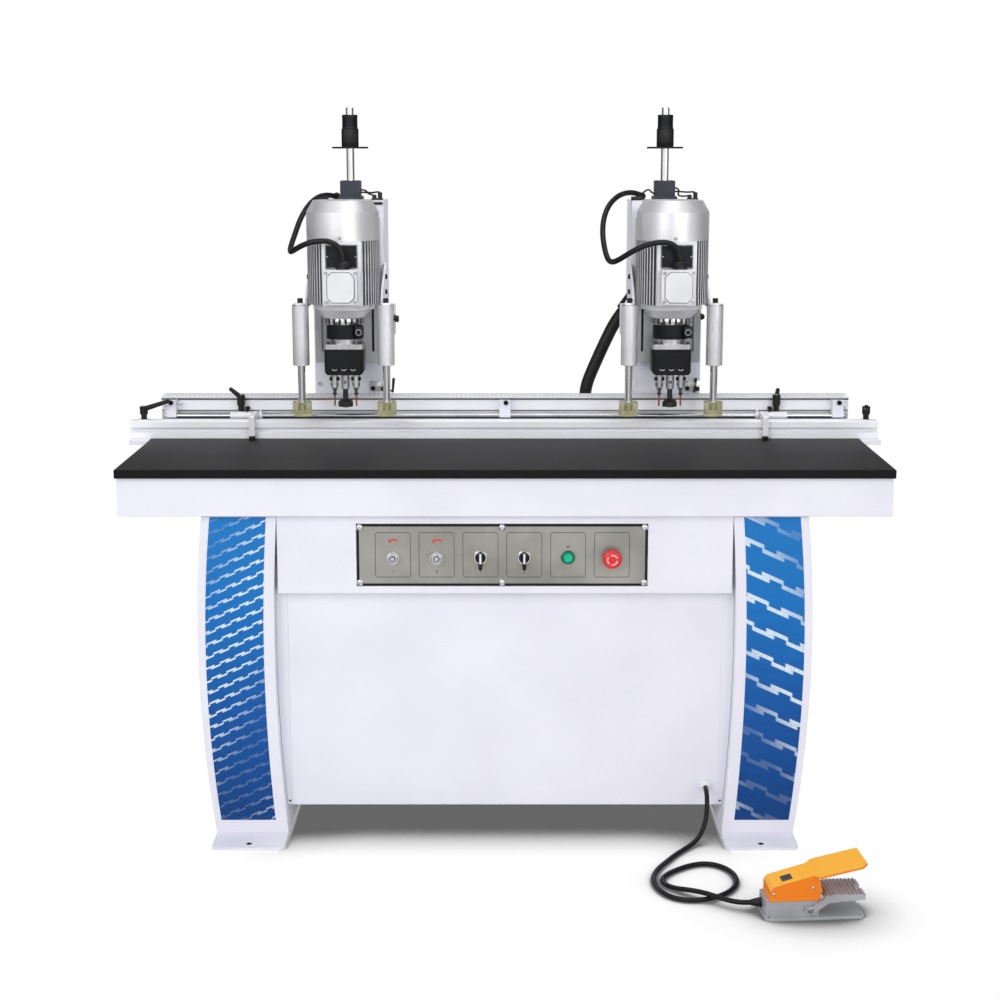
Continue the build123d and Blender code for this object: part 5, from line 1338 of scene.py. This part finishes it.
def dress_column(add, side):
    """Bolts and pointer on a column."""
    bolts = add("gusset_bolts", "carriage", "black_oxide")
    for hand in (-1, 1):
        bolts.screws([(hand * 86, 150, z) for z in (1126, 1160)], RIGHT * hand, 5.5, 4.5)
    bright = [(-70, 195, 911.5), (66, PLATE_FACE, 910.5)]
    add("base_screws", "carriage", "chrome").screws(bright, FRONT, 5.2, 4.2)
    dark = [(52, PLATE_FACE, 901), (75, PLATE_FACE, 899.5)]
    add("pointer_screws", "carriage", "black_oxide").screws(dark, FRONT, 5, 4.2)
    add("pointer_plate", "carriage", "steel").slab((44, 192.2, 893.5), (81, 195, 917), 0.8)
    pointer, place = add("pointer", "carriage", "black_plastic"), (66, 192.3, 890.5)
    if side == "left":
        pointer.slab((79, 193, 893), (98, 196, 897), 0.6)
        place = (94.5, 193.2, 890.5)
    pointer.plate([(0, 0), (5, 1), (8.5, 34), (2, 34)], place, 3)


def dress_air(add, side):
    """Air fittings and thin air tubes on a column."""
    fittings, nut = add("air_fittings", "carriage", "black_plastic"), hexagon(6.8)
    for x, height in AIR_FITTINGS:
        profile = [(0, nut), (4, nut), (4.5, 5), (height, 5), (height + 1, 4.2)]
        fittings.turned((x, AIR_FITTING_Y, COLUMN_TOP), UP, profile, 24)
    if side == "left":
        fittings.slab((52, 190.5, 1318.5), (79.5, 195, 1324.5), 1)
        fittings.slab((-74, 235, COLUMN_TOP), (-48, 256, BLOCK_TOP), 1.2)
        elbow, clamp = add("clamp_elbow", "carriage", "black_plastic"), Vector((CLAMP_X, CLAMP_Y, 1078))
        drop = [(0, 4), (0.5, 4.8), (12, 4.8), (12.5, 4)]
        elbow.turned(clamp + RIGHT * 17.5, RIGHT, [(0, 6.2), (6, 6.2), (6.5, 5), (11, 5)], 24)
        elbow.turned(clamp + RIGHT * 24 + DOWN * 9, UP, drop, 24)
    else:
        fittings.slab((-79.5, 230, COLUMN_TOP), (-56, 250, BLOCK_TOP), 1.2)
        elbow = add("column_elbow", "carriage", "black_plastic")
        elbow.turned((81, 188, 1066.5), FRONT, [(0, 7), (4, 7), (4.5, 5), (12, 5)], 24)
    tubes = add("air_tubes", "carriage", "cord_rubber")
    for route in AIR_TUBES[side]:
        tubes.tube(smooth_line(route), AIR_TUBE_R)


def dress_clamps(add):
    """Rings on the clamp cylinders, and nuts on the clamp pads."""
    rims, nuts = add("tube_rims", "carriage", "chrome"), add("pad_nuts", "clamps", "dark_steel")
    for x in both(CLAMP_X):
        rims.turned((x, CLAMP_Y, 1105.8), UP, [(0, 18), (1.2, 17.2), (1.4, 13)], 48)
        rims.turned((x, CLAMP_Y, 971.5), UP, [(0, 10), (0.5, 11.2), (2.4, 11.2), (2.6, 10)])
        nuts.slab((x - 7, CLAMP_Y - 7, 873.5), (x + 7, CLAMP_Y + 7, 885.5), 1.5)


def dress_feed(add):
    """Tie-rod nuts and a ring on the feed cylinder, and a knurled grip and rings on the depth stop."""
    axis = Vector((0, FEED_Y, 0))
    top = axis + UP * 1370
    corners = [top + Vector((x, y, 0)) for x in both(16.5) for y in both(16.5)]
    nuts = add("feed_screws", "carriage", "black_oxide").screws(corners, UP, 4, 0.7)
    nuts.turned(top, UP, [(0, 13.5), (0.5, 13.5), (0.7, 13), (0.7, 9.8)])
    stop, knurl = add("depth_rings", "depth_stop", "black_plastic"), ribbed(19.4, 0.3, 40)
    stop.turned(axis + UP * 1447.5, UP, [(0, 19), (0.6, knurl), (39, knurl), (39.6, 19)], 160)
    for z in (1488.2, 1513):
        stop.turned(axis + UP * z, UP, [(0, 17.6), (0.5, 18), (3, 18), (3.5, 17.6)], 48)


def dress_head(side, cx):
    """Every detail of one boring head."""

    def add(name, body, material, smooth=SMOOTH_UNDER):
        return piece(f"{side}_{name}", f"{side}_{body}", material, smooth, cx)

    for dress in (dress_motor, dress_drill, dress_spindles, dress_clamps, dress_feed):
        dress(add)
    dress_column(add, side)
    dress_air(add, side)


# Details of the pedal

GUARD_SLOPE = Vector((86, 0, 24)).normalized()


def dress_pedal():
    """Screws, rim and bare label of the guard, and pivot bolts of the treadle."""
    across, deep = heading(PEDAL_TURN), heading(PEDAL_TURN + 90)

    def spot(x, y, z):
        return Vector(PEDAL_CENTRE) + across * x + deep * y + UP * z

    outer, inner = rounded_outline(98, 66, 4), rounded_outline(94.5, 62.5, 3)
    piece("guard_rim", "root", "guard_plastic").ring(outer, inner, spot(-38.5, 0, 37.1), 5, across, deep)
    run = across * GUARD_SLOPE.x + UP * GUARD_SLOPE.z
    label = piece("guard_label", "root", "print_black")
    label.plate(rounded_outline(21, 24, 0.8), spot(-51, -6, 74.2), 0.4, 0, run, deep)
    screws = piece("guard_screws", "root", "chrome")
    for x, z in ((-79.5, 52), (-4, 63)):
        for hand in (-1, 1):
            screws.screw(spot(x, hand * 32, z), deep * hand, 3.4, 2.2, "dome")
    pivots = piece("treadle_pivots", "pedal_treadle", "steel")
    for hand in (-1, 1):
        pivots.screw(spot(-10, hand * 38, 20), deep * hand, 5.6, 3, "bolt")
        pivots.screw(spot(-9.5, hand * 38, 20.5), deep * hand, 3, 4.2)


for dress in (dress_legs, dress_table, dress_backs, dress_panel, dress_rail, dress_stops):
    dress()
for side, cx in HEADS.items():
    dress_head(side, cx)
dress_pedal()
ride_pieces()


# Studio

FLOOR_HALF = 9.0
FLOOR_GREY = 0.84
SHADOW_REACH = 0.17
SHADOW_SAMPLES = 16
SHADOW_STOPS = ((0.6, 102), (0.7, 168), (0.77, 211), (0.83, 219), (0.89, 233), (0.93, 246), (0.96, 255))
SHADOW_SIDE = (0.42, 0.475, 0.68)
FOOT_LIGHT = 0.93
SHADOW_FRONT = (-0.6, -0.5)
GLOSS_LEVEL = 0.75
GLOSS_STOPS = (
    (0.0, 0.95), (0.02, 0.9), (0.07, 0.34), (0.2, 0.18), (0.33, 0.6), (0.45, 0.48), (0.56, 0.07),
    (0.75, 0.12), (1.0, 0.38),
)
SKY_LEVEL = 0.66
SKY_COLOR = (0.97, 0.98, 1.0, 1)
SKY_STOPS = ((0.02, 0.95), (0.2, 0.9), (0.4, 0.36), (0.55, 0.07), (0.75, 0.12), (1.0, 0.38))

# Lamps: place, target, width, watts and spread in degrees
LAMPS = {
    "key": ((-2.4, -4.0, 2.8), (0, 0, 0.9), 2.6, 70, 180),
    "fill": ((2.6, -4.2, 1.8), (0, 0, 0.9), 2.6, 28, 180),
    "top": ((0.3, 0.0, 4.2), (0, 0, 0.8), 2.6, 44, 180),
    **{
        f"{side}_head_light": ((cx + 0.75, -2.4, 2.0), (cx + 0.06, 0.2, 1.2), 0.6, 0.3, 20)
        for side, cx in HEADS.items()
    },
}


def make_floor():
    """A white floor that shows the camera a painted soft shadow close to the machine, from ambient occlusion and lifted
    beside the legs, and shows mirrors a painted grey ramp.
    """
    floor = Finish("studio_floor")
    step = floor.math
    x, y, _ = floor.axes(floor.node("NewGeometry").outputs["Position"])
    open_sky = floor.node("AmbientOcclusion", Distance=SHADOW_REACH)
    open_sky.samples = SHADOW_SAMPLES
    across = step("ABSOLUTE", x)
    inner, middle, outer = SHADOW_SIDE
    near, far = (0, FOOT_LIGHT, inner, middle), (0, 1 - FOOT_LIGHT, middle, outer)
    beside = step("ADD", floor.span(across, *near), floor.span(across, *far))
    behind = floor.span(y, 0, 1, *SHADOW_FRONT)
    light = step("MAXIMUM", open_sky.outputs["AO"], step("MULTIPLY", beside, behind))
    shade = floor.ramp(light, *((share, srgb(level, level, level)) for share, level in SHADOW_STOPS))
    seen = floor.node("Emission", Color=shade)
    reach = step("SQRT", step("ADD", step("POWER", x, 2), step("POWER", y, 2)))
    depth = floor.span(step("DIVIDE", y, reach), 0, 1, -1, 1)
    gloss = floor.ramp(depth, *((share, grey(level)) for share, level in GLOSS_STOPS))
    mirrored = floor.node("Emission", Color=gloss, Strength=GLOSS_LEVEL)
    diffuse = floor.node("BsdfDiffuse", Color=grey(FLOOR_GREY))
    rays = floor.node("LightPath").outputs
    lit = floor.choose(rays["Is Glossy Ray"], diffuse, mirrored)
    surface = floor.choose(rays["Is Camera Ray"], lit, seen).outputs[0]
    floor.feed(floor.tree.nodes["Material Output"].inputs["Surface"], surface)
    FINISH["studio_floor"] = floor.material
    corners = [Vector((u * FLOOR_HALF, v * FLOOR_HALF, 0)) for u, v in ((-1, -1), (1, -1), (1, 1), (-1, 1))]
    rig.stage(Shape("studio_floor", "studio_floor", unit=1).flat(corners).object())


def make_world():
    """White to the eye, bright in front and dim behind in mirrors, and a plain level of light elsewhere."""
    world = bpy.data.worlds.new("studio")
    bpy.context.scene.world = world
    world.use_nodes = True
    world.node_tree.nodes.clear()
    sky = Tree(world.node_tree)
    rays = sky.node("LightPath").outputs
    y = sky.axes(sky.node("TexCoord").outputs["Generated"])["Y"]
    tone = sky.ramp(sky.span(y, 0, 1, -1, 1), *((share, grey(level)) for share, level in SKY_STOPS))
    lamp = sky.node("Background", Color=SKY_COLOR, Strength=SKY_LEVEL)
    lit = sky.choose(rays["Is Glossy Ray"], lamp, sky.node("Background", Color=tone))
    seen = sky.math("MAXIMUM", rays["Is Camera Ray"], rays["Is Transmission Ray"])
    shown = sky.choose(seen, lit, sky.node("Background", Color=grey(1)))
    sky.node("OutputWorld", Surface=shown.outputs[0])


def make_lamp(name, place, target, size, power, spread):
    """A soft round lamp."""
    data = bpy.data.lights.new(name, "AREA")
    data.shape = "DISK"
    data.size = size
    data.energy = power
    data.spread = radians(spread)
    lamp = bpy.data.objects.new(name, data)
    lamp.location = place
    lamp.rotation_euler = (Vector(target) - Vector(place)).to_track_quat("-Z", "Y").to_euler()
    bpy.context.scene.collection.objects.link(lamp)


make_floor()
make_world()
for name, looks in LAMPS.items():
    make_lamp(name, *looks)
bpy.context.scene.view_settings.view_transform = "Standard"

with open("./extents.json", "w") as sizes:
    json.dump({"cad": [list(corner) for corner in cad_box], "visual": [list(corner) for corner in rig.bounds()]}, sizes)
